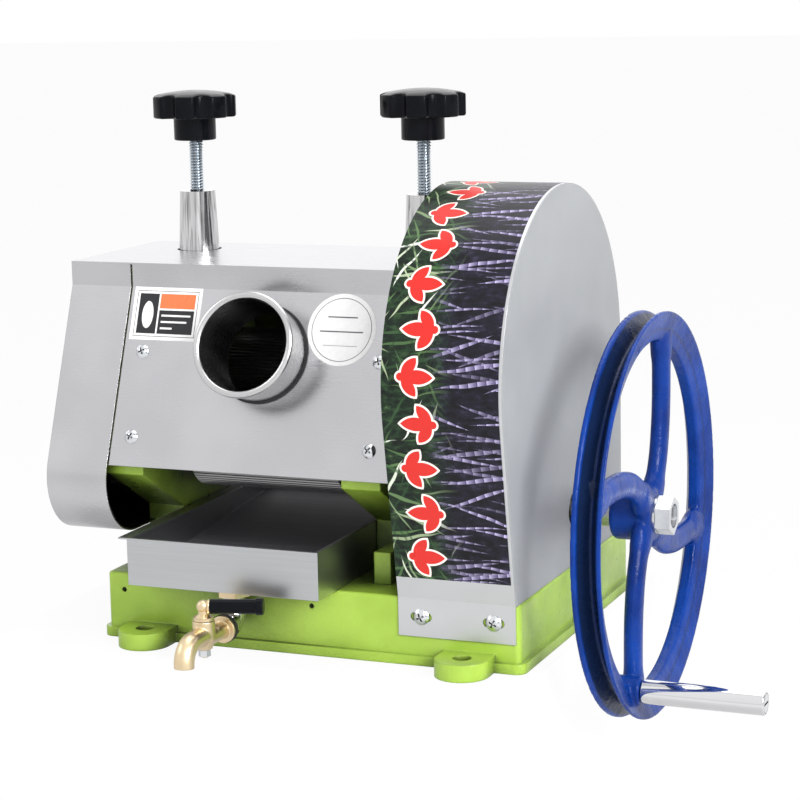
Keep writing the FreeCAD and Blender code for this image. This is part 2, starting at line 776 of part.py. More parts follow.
def curl(side, radius):
    """Centre height and y of the curl that the gear cover's slope runs into, and its tangent points."""
    tilt = panel_tilt if side < 0 else back_tilt
    run_y = front_y if side < 0 else back_y
    centre_z = v.curl_bottom + v.curl_radius
    start_z = centre_z + v.curl_radius * math.sin(tilt)
    centre_y = run_y(start_z) - side * v.curl_radius * math.cos(tilt)
    middle = (math.pi / 2 + tilt) / 2 - tilt
    start = (centre_y + side * radius * math.cos(tilt), centre_z + radius * math.sin(tilt))
    via = (centre_y + side * radius * math.cos(middle), centre_z - radius * math.sin(middle))
    return start, via, (centre_y, centre_z - radius)


def gear_cover_outline(depth):
    """The left cover's section, a depth below its outer skin."""
    front, front_via, front_end = curl(-1, v.curl_radius - depth)
    back, back_via, back_end = curl(1, v.curl_radius - depth)
    top = v.cover_top - v.sheet - depth
    front_fold = (v.fold_front + depth, fold_z(panel_tilt, depth))
    back_fold = (v.fold_back - depth, fold_z(back_tilt, depth))
    return chain(((back_fold[0], top), (front_fold[0], top)), ((front_fold[0], top), front_fold),
                 (front_fold, front), (front, front_via, front_end), (front_end, back_end),
                 (back_end, back_via, back), (back, back_fold), (back_fold, (back_fold[0], top)))


def left_gear_cover():
    """A curled band, closed at its left end, that tucks under the top plate."""
    body = new_body("gear_cover_body")
    end = sketch(body, "YZ_Plane", [gear_cover_outline(0.0)], "cover_left")
    pad(body, end, "sheet")
    band = sketch(body, "YZ_Plane", [gear_cover_outline(0.0), gear_cover_outline(v.sheet)], "cover_left")
    pad(body, band, "panel_left - slit - cover_left")
    notch = box("foot_notch", "40", f"frame_back - frame_front + 2 * foot_clearance", "24",
                (f"{LEFT_OUTER} - 0.5", "frame_front - foot_clearance", "curl_bottom - 2"))
    hole = cylinder("gear_cover_sleeve_hole", "sleeve_hole", "4 * sheet",
                    (LEFT_MID, "screw_y", "cover_top - 4 * sheet"))
    node("left_gear_cover", cut("left_gear_cover", body, notch, hole))


def pan_screw(head, height, shank, length):
    """A pan-head screw with a crossed recess, its seat at the origin and its head along +Z."""
    half = head / 2
    rise = (half ** 2 - height ** 2) / (2 * height)
    ball = Part.makeSphere(half + rise * 0.35, Vector(0, 0, height - half - rise * 0.35))
    body = Part.makeCylinder(half, height).common(ball)
    body = body.fuse(Part.makeCylinder(shank / 2, length, ORIGIN, Z_AXIS * -1))
    arm, width, deep = head * 0.5, head * 0.11, height * 0.55
    slot = Part.makeBox(arm, width, deep, Vector(-arm / 2, -width / 2, height - deep))
    cross = slot.fuse(Part.makeBox(width, arm, deep, Vector(-width / 2, -arm / 2, height - deep)))
    return body.cut(cross)


def screw_group(label, spots, head):
    screw = pan_screw(head, v.pan_height, v.pan_shank, v.pan_length)
    solids = []
    for i, (spot, normal) in enumerate(spots):
        copy = screw.copy()
        spin = FreeCAD.Rotation(Z_AXIS, 25 + 40 * i)
        copy.Placement = FreeCAD.Placement(spot, FreeCAD.Rotation(Z_AXIS, normal).multiply(spin))
        solids.append(copy)
    node(label, shape_feature(label, Part.makeCompound(solids)))


# ---- feed tube and stickers ----

def on_slope(item, x, down, out):
    """Stands an item on the sloped front: its Z along the panel's normal."""
    item.Placement = FreeCAD.Placement(on_panel(x, down, out), FreeCAD.Rotation(X_AXIS,
                                                                                panel_tilt_degrees()))
    return item


def panel_tilt_degrees():
    return 90 - math.degrees(panel_tilt)


def feed_tube():
    body = new_body("feed_tube_body")
    inner, outer = v.feed_bore / 2, v.feed_bore / 2 + v.feed_wall
    bead, out = v.feed_bead, v.feed_out
    crown = inner + bead
    side = bead * math.sqrt(0.5)
    profile = chain(((inner, -v.feed_in), (inner, out - bead)),
                    ((inner, out - bead), (crown, out), (crown + bead, out - bead)),
                    ((crown + bead, out - bead), (crown + side, out - bead - side),
                     (crown, out - 2 * bead)),
                    ((crown, out - 2 * bead), (outer, out - 2 * bead)),
                    ((outer, out - 2 * bead), (outer, -v.feed_in)),
                    ((outer, -v.feed_in), (inner, -v.feed_in)))
    revolution(body, sketch(body, "XZ_Plane", [profile]))
    body.Placement = FreeCAD.Placement(on_panel(v.feed_x, v.feed_down),
                                       FreeCAD.Rotation(Z_AXIS, panel_normal))
    node("feed_tube", body)
    tube = "(feed_bore + 2 * feed_wall)"
    outer_ring = cylinder("ring_outer", f"{tube} + 2 * ring_width", "ring_thickness")
    ring = cut("feed_tube_ring", outer_ring, cylinder("ring_inner", tube, "ring_thickness"))
    ring.Placement = FreeCAD.Placement(on_panel(v.feed_x, v.feed_down),
                                       FreeCAD.Rotation(Z_AXIS, panel_normal))
    node("feed_tube_ring", ring)


def stickers():
    """Two plain labels on the sloped front."""
    notice = doc.addObject("Part::Box", "notice_sheet")
    bind(notice, Length="notice_width", Width="notice_height", Height="sticker")
    on_slope(notice, v.notice_left, v.notice_height, 0)
    trim = Part.makeCylinder(v.feed_bore / 2 + v.feed_wall + v.ring_width, 4 * v.sheet,
                             on_panel(v.feed_x, v.feed_down, -2 * v.sheet), panel_normal)
    node("notice_label", cut("notice_label", notice, shape_feature("notice_trim", trim)))
    seal = doc.addObject("Part::Cylinder", "seal_sheet")
    bind(seal, Radius="seal_diameter / 2", Height="sticker")
    on_slope(seal, v.seal_x, v.seal_down, 0)
    trim_seal = shape_feature("seal_trim", trim)
    node("round_label", cut("round_label", seal, trim_seal))


# ---- gears ----

def involute(angle):
    return math.tan(angle) - angle


def gear_face(teeth, phase, backlash):
    """A gear's flat outline round the origin of the YZ plane, one tooth centred at the phase angle."""
    module, pressure = v.gear_module, math.radians(v.pressure_angle)
    pitch = module * teeth / 2
    base, tip, root = pitch * math.cos(pressure), pitch + v.addendum * module, pitch - v.dedendum * module
    half_tooth = (math.pi * module - backlash) / (4 * pitch) + involute(pressure)
    start = max(base, root)
    radii = [start + (tip - start) * i / 5 for i in range(6)]
    flank = [(root, half_tooth)] if root < base else []
    flank += [(r, half_tooth - involute(math.acos(base / r))) for r in radii]
    points = []
    for i in range(int(teeth)):
        centre = math.radians(phase) + 2 * math.pi * i / teeth
        points += [(r, centre - half) for r, half in flank]
        points += [(r, centre + half) for r, half in reversed(flank)]
    corners = [Vector(0, r * math.cos(a), r * math.sin(a)) for r, a in points]
    return Part.Face(Part.makePolygon(corners + corners[:1]))


def meshed_phase(phase, teeth, line, other_teeth):
    """Phase of the gear that meshes along a line at an angle from the first gear's centre."""
    behind = (phase - line) % (360 / teeth)
    return line + 180 + 180 / other_teeth - behind * teeth / other_teeth


def gear_shape(teeth, width, bore, phase, backlash):
    blank = gear_face(teeth, phase, backlash).extrude(X_AXIS * width)
    return blank.cut(Part.makeCylinder(bore / 2, width, ORIGIN, X_AXIS))


def angle_of(dy, dz):
    return math.degrees(math.atan2(dz, dy))


def roller_gears():
    """Three equal gears at the left ends of the roller shafts, each with a hub towards its frame.

    The teeth are thin, and the lower gears are turned so that the slack lies on the flanks that the top gear
    nears as its carriage rises.
    """
    left = left_outer - v.roller_gear_gap - v.roller_gear_width
    top_phase = 0.0
    lean = math.degrees((v.roller_backlash / 2 - v.tight_flank) / roller_reach * 2)
    leans = {"top": 0.0, "front": lean, "rear": -lean}
    lines = {"front": angle_of(v.front_roller_y - v.screw_y, front_z - v.top_roller_z),
             "rear": angle_of(v.rear_roller_y - v.screw_y, rear_z - v.top_roller_z)}
    centres = {"top": (v.screw_y, v.top_roller_z), "front": (v.front_roller_y, front_z),
               "rear": (v.rear_roller_y, rear_z)}
    hub_length = v.roller_gear_gap - v.bush_flange - v.end_play
    for name, (y, z) in centres.items():
        phase = top_phase if name == "top" else meshed_phase(top_phase, v.roller_teeth, lines[name],
                                                             v.roller_teeth)
        phase += leans[name]
        shape = gear_shape(v.roller_teeth, v.roller_gear_width, v.seat, phase, v.roller_backlash)
        hub = Part.makeCylinder(v.seat / 2 + v.hub_wall, hub_length, X_AXIS * v.roller_gear_width, X_AXIS)
        hub = hub.cut(Part.makeCylinder(v.seat / 2, hub_length, X_AXIS * v.roller_gear_width, X_AXIS))
        node(f"{name}_roller_gear", shape_feature(f"{name}_roller_gear", shape.fuse(hub),
                                                  Vector(left, y, z)))


def bull_gear():
    shape = gear_shape(v.bull_teeth, v.bull_width, v.seat, 0.0, v.backlash)
    pitch = v.gear_module * v.bull_teeth / 2
    hub, rim = v.seat / 2 + 2 * v.hub_wall, pitch - 3 * v.gear_module
    ring = Part.makeCylinder(rim, v.bull_width * 0.3, ORIGIN, X_AXIS)
    ring = ring.cut(Part.makeCylinder(hub, v.bull_width * 0.3, ORIGIN, X_AXIS))
    shape = shape.cut(ring)
    ring.translate(X_AXIS * v.bull_width * 0.7)
    shape = shape.cut(ring)
    for i in range(5):
        hole = Part.makeCylinder((rim - hub) * 0.36, v.bull_width, Vector(0, (rim + hub) / 2, 0), X_AXIS)
        hole.rotate(ORIGIN, X_AXIS, 72 * i)
        shape = shape.cut(hole)
    x = right_outer + v.bull_gap
    node("bull_gear", shape_feature("bull_gear", shape, Vector(x, v.screw_y, v.top_roller_z)))


def drive_pinion():
    line = angle_of(v.drive_y - v.screw_y, drive_z - v.top_roller_z)
    phase = meshed_phase(0.0, v.bull_teeth, line, v.pinion_teeth)
    shape = gear_shape(v.pinion_teeth, v.pinion_width, v.drive_shaft, phase, v.backlash)
    x = right_outer + v.bull_gap + v.bull_width / 2 - v.pinion_width / 2
    shape = shape.cut(keyway(0, v.pinion_width, v.drive_shaft))
    node("drive_pinion", shape_feature("drive_pinion", shape, Vector(x, v.drive_y, drive_z)))


def keyway(start, length, diameter):
    """The slot above a bore that takes the upper half of a key."""
    half = v.key_size / 2
    low = math.sqrt((diameter / 2) ** 2 - half ** 2) - 0.05
    return Part.makeBox(length, 2 * half, diameter / 2 + half - low, Vector(start, -half, low))


# ---- rollers and shafts ----

def fluted_barrel(label, y, z):
    """A roller sleeve with straight V flutes all round, bored for its shaft."""
    outer, inner = v.roller_diameter / 2, v.roller_diameter / 2 - v.flute_depth
    step = 2 * math.pi / v.flute_count
    points = []
    for i in range(int(v.flute_count)):
        a = i * step
        points += [(inner, a), (outer, a + 0.3 * step), (outer, a + 0.7 * step)]
    corners = [Vector(0, r * math.cos(a), r * math.sin(a)) for r, a in points]
    barrel = Part.Face(Part.makePolygon(corners + corners[:1])).extrude(X_AXIS * v.roller_length)
    barrel = barrel.cut(Part.makeCylinder(v.shaft_body / 2, v.roller_length, ORIGIN, X_AXIS))
    node(label, shape_feature(label, barrel, Vector(v.mill_x - v.roller_length / 2, y, z)))


def roller_shaft(label, y, z, driven):
    """A stepped shaft: nut thread, gear seat, journals, thick body; the driven one has a right seat too."""
    def step(name, diameter, start, end):
        return cylinder(f"{label}_{name}", diameter, f"({end}) - ({start})", (start, y, z), X_AXIS)
    steps = [step("thread", "shaft_thread", f"{GEAR_LEFT} - nut_height", GEAR_LEFT),
             step("seat", "seat", GEAR_LEFT, f"{LEFT_OUTER} - bush_flange - end_play"),
             step("left_journal", "journal", f"{LEFT_OUTER} - bush_flange - end_play",
                  f"{LEFT_INNER} + end_play"),
             step("middle", "shaft_body", f"{LEFT_INNER} + end_play", f"{RIGHT_INNER} - end_play")]
    if driven:
        steps += [step("right_journal", "journal", f"{RIGHT_INNER} - end_play", BULL_LEFT),
                  step("right_seat", "seat", BULL_LEFT, BULL_RIGHT),
                  step("right_thread", "shaft_thread", BULL_RIGHT, f"{BULL_RIGHT} + nut_height")]
    else:
        steps.append(step("right_journal", "journal", f"{RIGHT_INNER} - end_play", f"{RIGHT_OUTER} - 2"))
    node(label, fuse(label, *steps))


def shaft_nut(name, start, y, z):
    """A thin nut whose left face is at the start."""
    nut = prism(name + "_hex", "nut_across", "nut_height", (start, y, z), X_AXIS)
    bore = cylinder(name + "_bore", "shaft_thread", "nut_height", (start, y, z), X_AXIS)
    return cut(name, nut, bore)


def bush(name, outer, bore, start, length, y, z, flange_side):
    """A flanged bush; the flange is beyond its start (-1) or its end (1)."""
    flange_start = f"({start}) - bush_flange" if flange_side < 0 else f"({start}) + ({length})"
    sleeve = cylinder(name + "_sleeve", outer, length, (start, y, z), X_AXIS)
    flange = cylinder(name + "_flange", f"{outer} + 6", "bush_flange", (flange_start, y, z), X_AXIS)
    whole_start = flange_start if flange_side < 0 else start
    hole = cylinder(name + "_bore", f"{bore} + 2 * running", f"({length}) + bush_flange",
                    (whole_start, y, z), X_AXIS)
    return cut(name, fuse(name + "_body", sleeve, flange), hole)


def lower_rollers():
    bushes = []
    for name, y, z, z_value in (("front", "front_roller_y", FRONT_Z, front_z),
                                ("rear", "rear_roller_y", REAR_Z, rear_z)):
        fluted_barrel(f"{name}_roller", float(sheet.get(y)), z_value)
        roller_shaft(f"{name}_roller_shaft", y, z, driven=False)
        node(f"{name}_shaft_nut", shaft_nut(f"{name}_shaft_nut", f"{GEAR_LEFT} - nut_height", y, z))
        bushes.append(bush(f"{name}_left_bush", BUSH_OUTER, "journal", LEFT_OUTER, "frame_thickness", y, z,
                           -1))
        bushes.append(bush(f"{name}_right_bush", BUSH_OUTER, "journal", RIGHT_INNER, "frame_thickness", y,
                           z, 1))
    node("lower_roller_bushes", group("lower_roller_bushes", *bushes))


def top_roller():
    y, z = "screw_y", "top_roller_z"
    fluted_barrel("top_roller", v.screw_y, v.top_roller_z)
    roller_shaft("top_roller_shaft", y, z, driven=True)
    node("top_shaft_nuts", group("top_shaft_nuts", shaft_nut("top_left_nut", f"{GEAR_LEFT} - nut_height", y,
                                                             z),
                                 shaft_nut("top_right_nut", BULL_RIGHT, y, z)))
    bushes = [bush("top_left_bush", BUSH_OUTER, "journal", LEFT_OUTER, "frame_thickness", y, z, -1),
              bush("top_right_bush", BUSH_OUTER, "journal", RIGHT_INNER, "frame_thickness", y, z, 1)]
    node("top_roller_bushes", group("top_roller_bushes", *bushes))
    for side, start in (("left", LEFT_OUTER), ("right", RIGHT_INNER)):
        block = box(side + "_block", "frame_thickness", "block_width", "block_height",
                    (start, "screw_y - block_width / 2", "top_roller_z - block_height / 2"))
        bore = cylinder(side + "_block_bore", BUSH_OUTER, "frame_thickness", (start, y, z), X_AXIS)
        node(f"{side}_bearing_block", cut(f"{side}_bearing_block", block, bore))


def turner_plate():
    """A curved plate on a bar that guides crushed cane from the front pair to the rear pair."""
    inner = v.roller_diameter / 2 + v.turner_gap
    outer = inner + v.turner_thickness
    start, end = math.radians(v.turner_start), math.radians(v.turner_end)
    def at(radius, angle):
        return v.screw_y + radius * math.cos(angle), v.top_roller_z + radius * math.sin(angle)
    middle = (start + end) / 2
    body = new_body("turner_body")
    curved = chain((at(inner, start), at(inner, middle), at(inner, end)), (at(inner, end), at(outer, end)),
                   (at(outer, end), at(outer, middle), at(outer, start)),
                   (at(outer, start), at(inner, start)))
    pad(body, sketch(body, "YZ_Plane", [curved], "mill_x - roller_length / 2"), "roller_length")
    half = v.turner_bar_width / 2
    bar = rectangle(v.screw_y - half, v.turner_bar_bottom, v.screw_y + half, turner_bar_top())
    hole = circle(v.screw_y, turner_bolt_z(), v.bolt_size)
    last = pad(body, sketch(body, "YZ_Plane", [bar], LEFT_INNER), f"{RIGHT_INNER} - {LEFT_INNER}")
    pocket(body, sketch(body, "YZ_Plane", [hole], LEFT_INNER), "bolt_depth", along_normal=True)
    last = pocket(body, sketch(body, "YZ_Plane", [hole], RIGHT_INNER), "bolt_depth")
    body.Tip = last
    node("turner_plate", body)


def outlet_chute():
    """A bent plate with low cheeks that leads the spent cane out through the back."""
    body = new_body("chute_body")
    low = v.outlet_bottom
    start = v.rear_roller_y - 6
    bend = back_y(low) + 6
    points = [(start, low), (bend, low), (v.chute_reach, low - v.chute_drop)]
    lifted = [(y, z + v.sheet) for y, z in reversed(points)]
    pad(body, sketch(body, "YZ_Plane", [polygon(points + lifted)], "mill_x - chute_width / 2"),
        "chute_width")
    cheek_points = points[1:] + [(v.chute_reach, low - v.chute_drop + v.chute_cheek * 0.6),
                                 (bend, low + v.chute_cheek),
                                 (bend - v.chute_cheek_run, low + v.chute_cheek),
                                 (bend - v.chute_cheek_run, low)]
    for offset in ("mill_x - chute_width / 2", "mill_x + chute_width / 2 - sheet"):
        last = pad(body, sketch(body, "YZ_Plane", [polygon(cheek_points)], offset), "sheet")
    body.Tip = last
    node("outlet_chute", body)


# ---- gear guard ----

def guard_path(depth):
    """Front foot, tangent point on the arch, arch crown and back shoulder, a depth below the outer skin."""
    radius = v.arch_radius - depth
    foot = (-v.base_depth / 2 - v.guard_sheet + depth, v.base_height)
    dy, dz = foot[0] - v.arch_y, foot[1] - v.arch_z
    reach = math.hypot(dy, dz)
    angle = math.atan2(dz, dy) - math.acos(radius / reach)
    tangent = (v.arch_y + radius * math.cos(angle), v.arch_z + radius * math.sin(angle))
    return foot, tangent, (v.arch_y, v.arch_z + radius), (v.arch_y + radius, v.arch_z)


def gear_guard():
    foot, tangent, crown, shoulder = guard_path(0.0)
    inner_foot, inner_tangent, inner_crown, inner_shoulder = guard_path(v.guard_sheet)
    back, inner_back = (shoulder[0], v.base_height), (inner_shoulder[0], v.base_height)
    toe, inner_toe = (foot[0], v.apron_bottom), (inner_foot[0], v.apron_bottom)
    band = new_body("guard_band_body")
    strip = chain((toe, foot), (foot, tangent), (tangent, crown, shoulder), (shoulder, back),
                  (back, inner_back),
                  (inner_back, inner_shoulder), (inner_shoulder, inner_crown, inner_tangent),
                  (inner_tangent, inner_foot), (inner_foot, inner_toe), (inner_toe, toe))
    pad(band, sketch(band, "YZ_Plane", [strip], "guard_left"), "guard_width - guard_sheet")
    slots = []
    half, end = v.slot_height / 2, v.slot_length / 2 - v.slot_height / 2
    for x in guard_screw_x():
        low, high = v.slot_level - half, v.slot_level + half
        slots.append(chain(((x - end, low), (x + end, low)), ((x + end, low),
            (x + end + half, v.slot_level), (x + end, high)),
                           ((x + end, high), (x - end, high)), ((x - end, high),
                               (x - end - half, v.slot_level), (x - end, low))))
    band.Tip = pocket(band, sketch(band, "XZ_Plane", slots, "base_depth / 2 + 2 * guard_sheet"),
                      "3 * guard_sheet")
    node("guard_band", band)
    plate = new_body("guard_plate_body")
    outline = chain((foot, tangent), (tangent, crown, shoulder), (shoulder, back), (back, foot))
    shaft_hole = circle(v.drive_y, drive_z, v.guard_shaft_hole)
    pad(plate, sketch(plate, "YZ_Plane", [outline, shaft_hole], "guard_left + guard_width - guard_sheet"),
        "guard_sheet")
    node("guard_side_plate", plate)


def guard_film():
    """The printed film on the band, from above the apron to the back shoulder."""
    foot, tangent, crown, shoulder = guard_path(0.0)
    share = (v.film_bottom - foot[1]) / (tangent[1] - foot[1])
    start = (foot[0] + share * (tangent[0] - foot[0]), v.film_bottom)
    _, out_tangent, out_crown, out_shoulder = guard_path(-v.film)
    shift = (out_tangent[0] - tangent[0], out_tangent[1] - tangent[1])
    out_start = (start[0] + shift[0], start[1] + shift[1])
    body = new_body("guard_film_body")
    strip = chain((start, tangent), (tangent, crown, shoulder), (shoulder, out_shoulder),
                  (out_shoulder, out_crown, out_tangent), (out_tangent, out_start), (out_start, start))
    pad(body, sketch(body, "YZ_Plane", [strip], "guard_left"), "guard_width - film_border")
    node("guard_film", body)


def guard_screws():
    face = -v.base_depth / 2 - v.guard_sheet
    spots = [(Vector(x, face, v.slot_level), Y_AXIS * -1) for x in guard_screw_x()]
    screw_group("guard_screws", spots, v.guard_head)


# ---- pressure screws and knobs ----

def screw_sleeve(side, mid):
    cone = doc.addObject("Part::Cone", side + "_sleeve_cone")
    bind(cone, Radius1="sleeve_foot / 2", Radius2="sleeve_crown / 2", Height=f"sleeve_top - {FRAME_TOP}")
    place(cone, mid, "screw_y", FRAME_TOP)
    bore = cylinder(side + "_sleeve_bore", "sleeve_bore", f"sleeve_top - {FRAME_TOP}",
                    (mid, "screw_y", FRAME_TOP))
    node(f"{side}_screw_sleeve", cut(f"{side}_screw_sleeve", cone, bore))


def knob_base(side):
    """Height of a knob's underside: the right screw is backed off a little further than the left."""
    return v.knob_bottom + (v.right_knob_lift if side == "right" else 0)


def pressure_screw(side, x):
    """A rod that bears on the block, with thread rings where it shows between sleeve and knob."""
    outer, root = v.screw_size / 2, v.screw_size / 2 - v.thread_depth
    bottom, top = v.top_roller_z + v.block_height / 2, knob_base(side) + v.knob_hub_height
    points = [(0, bottom), (outer, bottom), (outer, v.thread_start)]
    turns = int((knob_base(side) - v.thread_start) / v.screw_pitch)
    for i in range(turns):
        z = v.thread_start + i * v.screw_pitch
        points += [(root, z + v.screw_pitch * 0.45), (root, z + v.screw_pitch * 0.55),
                   (outer, z + v.screw_pitch * 0.95)]
    points += [(outer, top), (0, top)]
    body = new_body(side + "_screw_body")
    revolution(body, sketch(body, "XZ_Plane", [polygon(points)]))
    body.Placement.Base = Vector(x, v.screw_y, 0)
    node(f"{side}_pressure_screw", body)


def star_knob(side, x):
    """A scalloped knob with a round hub below and a low dome above."""
    radius, hub, bore = v.knob_diameter / 2, v.knob_hub / 2, v.screw_size / 2
    lobe = v.knob_hub_height
    rim, top = lobe + v.knob_lobe_height, lobe + v.knob_lobe_height + v.knob_dome
    body = new_body(side + "_knob_body")
    profile = chain(((bore, 0), (hub, 0)), ((hub, 0), (hub, lobe)), ((hub, lobe), (radius, lobe)),
                    ((radius, lobe), (radius, rim)),
                    ((radius, rim), (radius * 0.55, rim + v.knob_dome * 0.75), (0, top)),
                    ((0, top), (0, lobe)),
                    ((0, lobe), (bore, lobe)), ((bore, lobe), (bore, 0)))
    revolution(body, sketch(body, "XZ_Plane", [profile]))
    scallop = sketch(body, "XY_Plane", [circle(radius + v.knob_scallop * 0.35, 0, 2 * v.knob_scallop)],
                     "knob_hub_height")
    notch = pocket(body, scallop, "knob_lobe_height + knob_dome", along_normal=True)
    pattern = body.newObject("PartDesign::PolarPattern", side + "_scallops")
    pattern.Originals = [notch]
    pattern.Axis = (scallop, ["N_Axis"])
    pattern.Angle = 360
    bind(pattern, Occurrences="knob_lobes")
    body.Tip = pattern
    rounded_edges = fillet(body, pattern, "knob_edge", lambda edge: is_lobe_edge(edge, lobe, radius))
    body.Tip = rounded_edges
    body.Placement.Base = Vector(x, v.screw_y, knob_base(side))
    node(f"{side}_knob", body)


def is_lobe_edge(edge, lobe, radius):
    """True for the upper and lower outlines of the lobes."""
    box_ = edge.BoundBox
    middle = edge.valueAt((edge.FirstParameter + edge.LastParameter) / 2)
    far = math.hypot(middle.x, middle.y) > radius * 0.7
    return far and box_.ZLength < v.knob_dome and box_.ZMin > lobe - 0.01


# ---- juice tray, drain and tap ----

def juice_tray():
    """A folded tray whose floor falls to the front; its sides stand on the base."""
    body = new_body("tray_body")
    bottom = v.base_height + v.tray_clearance
    skin = v.tray_sheet
    walls = rectangle(v.tray_left, v.tray_front, v.tray_right, v.tray_back)
    pad(body, sketch(body, "XY_Plane", [walls], "base_height + tray_clearance"),
        "tray_rim - base_height - tray_clearance")
    front, back = v.tray_front + skin, v.tray_back - skin
    over = polygon([(front, v.floor_front + skin), (back, v.floor_back + skin), (back, v.tray_rim),
                    (front, v.tray_rim)])
    inside = "tray_right - tray_left - 2 * tray_sheet"
    pocket(body, sketch(body, "YZ_Plane", [over], "tray_left + tray_sheet"), inside, along_normal=True)
    under = polygon([(front, bottom), (back, bottom), (back, v.floor_back), (front, v.floor_front)])
    pocket(body, sketch(body, "YZ_Plane", [under], "tray_left + tray_sheet"), inside, along_normal=True)
    hem = v.hem
    ring = rectangle(v.tray_left + hem, v.tray_front + hem, v.tray_right - hem, v.tray_back - hem)
    pad(body, sketch(body, "XY_Plane", [rectangle(v.tray_left, v.tray_front, v.tray_right, v.tray_back),
                                        ring],
                     "tray_rim - 2 * tray_sheet"), "2 * tray_sheet")
    lip = rectangle(v.tray_left - v.tray_lip, v.tray_front, v.tray_left, v.tray_back)
    pad(body, sketch(body, "XY_Plane", [lip], "tray_rim - tray_sheet"), "tray_sheet")
    drain = circle(drain_x, v.drain_y, v.drain_pipe)
    last = pocket(body, sketch(body, "XY_Plane", [drain], "floor_front - 2 * tray_sheet"), "8",
                  along_normal=True)
    body.Tip = last
    node("juice_tray", body)


def bent_pipe(diameter, points, radius):
    """A round bar along straight runs joined by one tangent arc."""
    a, b, c = points
    first, second = (a - b).normalize(), (c - b).normalize()
    turn = first.getAngle(second)
    back = radius / math.tan(turn / 2)
    p, q = b + first * back, b + second * back
    inward = (first + second).normalize()
    centre = b + inward * (radius / math.sin(turn / 2))
    middle = centre - inward * radius
    wire = Part.Wire([Part.LineSegment(a, p).toShape(), Part.Arc(p, middle, q).toShape(),
                      Part.LineSegment(q, c).toShape()])
    ring = Part.Wire(Part.makeCircle(diameter / 2, a, first))
    return wire.makePipeShell([ring], True, False)


def drain():
    x, y = drain_x, v.drain_y
    slope = (v.floor_back - v.floor_front) / (v.tray_back - v.tray_front)
    floor = v.floor_front + v.tray_sheet + (y - v.tray_front) * slope
    points = [Vector(x, y, floor + 1), Vector(x, y, v.tap_level), Vector(x, v.elbow_end, v.tap_level)]
    radius = min(v.elbow_radius, (y - v.elbow_end) - 0.2)
    elbow = bent_pipe(v.drain_pipe, points, radius).cut(bent_pipe(v.drain_bore, points, radius))
    node("drain_elbow", shape_feature("drain_elbow", elbow))
    at = (DRAIN_X, "drain_y", "base_height + tray_clearance - drain_nut_height")
    nut = prism("drain_nut_hex", "drain_nut_across", "drain_nut_height", at)
    node("drain_nut", cut("drain_nut", nut, cylinder("drain_nut_bore", "drain_pipe", "drain_nut_height",
                                                     at)))


def tap():
    """A plug cock: flange and barrel along the front, an upright tapered housing and a bent spout."""
    x, level = drain_x, v.tap_level
    flange_start = v.elbow_end - v.tap_ring_thickness
    back = Y_AXIS * -1
    seat = (DRAIN_X, "elbow_end", "tap_level")
    ring = cylinder("tap_washer_disc", "tap_ring + 1", "tap_ring_thickness", seat, back)
    node("tap_washer", cut("tap_washer", ring, cylinder("tap_washer_bore", "drain_bore",
                                                        "tap_ring_thickness", seat, back)))
    centre = Vector(x, v.plug_y, 0)
    shape = Part.makeCylinder(v.tap_ring / 2, v.tap_ring_thickness, Vector(x, flange_start, level), back)
    shape = shape.fuse(Part.makeCylinder(v.tap_barrel / 2, flange_start - v.plug_y,
                                         Vector(x, flange_start, level), back))
    shape = shape.fuse(plug_housing().translated(centre))
    end_y = v.plug_y - v.spout_reach
    path = [Vector(x, v.plug_y, v.spout_level), Vector(x, end_y, v.spout_level - 1),
            Vector(x, end_y - 1.5, v.spout_bottom)]
    shape = shape.fuse(bent_pipe(v.spout_diameter, path, v.spout_bend))
    shape = shape.cut(bent_pipe(v.waterway, path, v.spout_bend))
    way = Part.makeCylinder(v.waterway / 2, v.elbow_end - v.plug_y, Vector(x, v.elbow_end, level), back)
    bore = Part.makeCylinder(v.plug_diameter / 2 + v.running, v.plug_housing_top, Vector(x, v.plug_y, 0))
    node("tap_body", shape_feature("tap_body", shape.cut(way).cut(bore)))
    turned = FreeCAD.Rotation(Z_AXIS, v.lever_angle)
    for label, piece in tap_plug_pieces().items():
        node(label, shape_feature(label, piece, centre, turned))


def plug_housing():
    """The tap's housing round the plug's axis: a taper, a barrel and a small rim."""
    outer, low = v.plug_diameter / 2 + v.plug_wall, v.plug_diameter / 2 + 1.4
    shoulder = v.plug_housing_bottom + v.plug_taper
    shape = Part.makeCone(low, outer, v.plug_taper, Vector(0, 0, v.plug_housing_bottom))
    shape = shape.fuse(Part.makeCylinder(outer, v.plug_housing_top - shoulder, Vector(0, 0, shoulder)))
    return shape


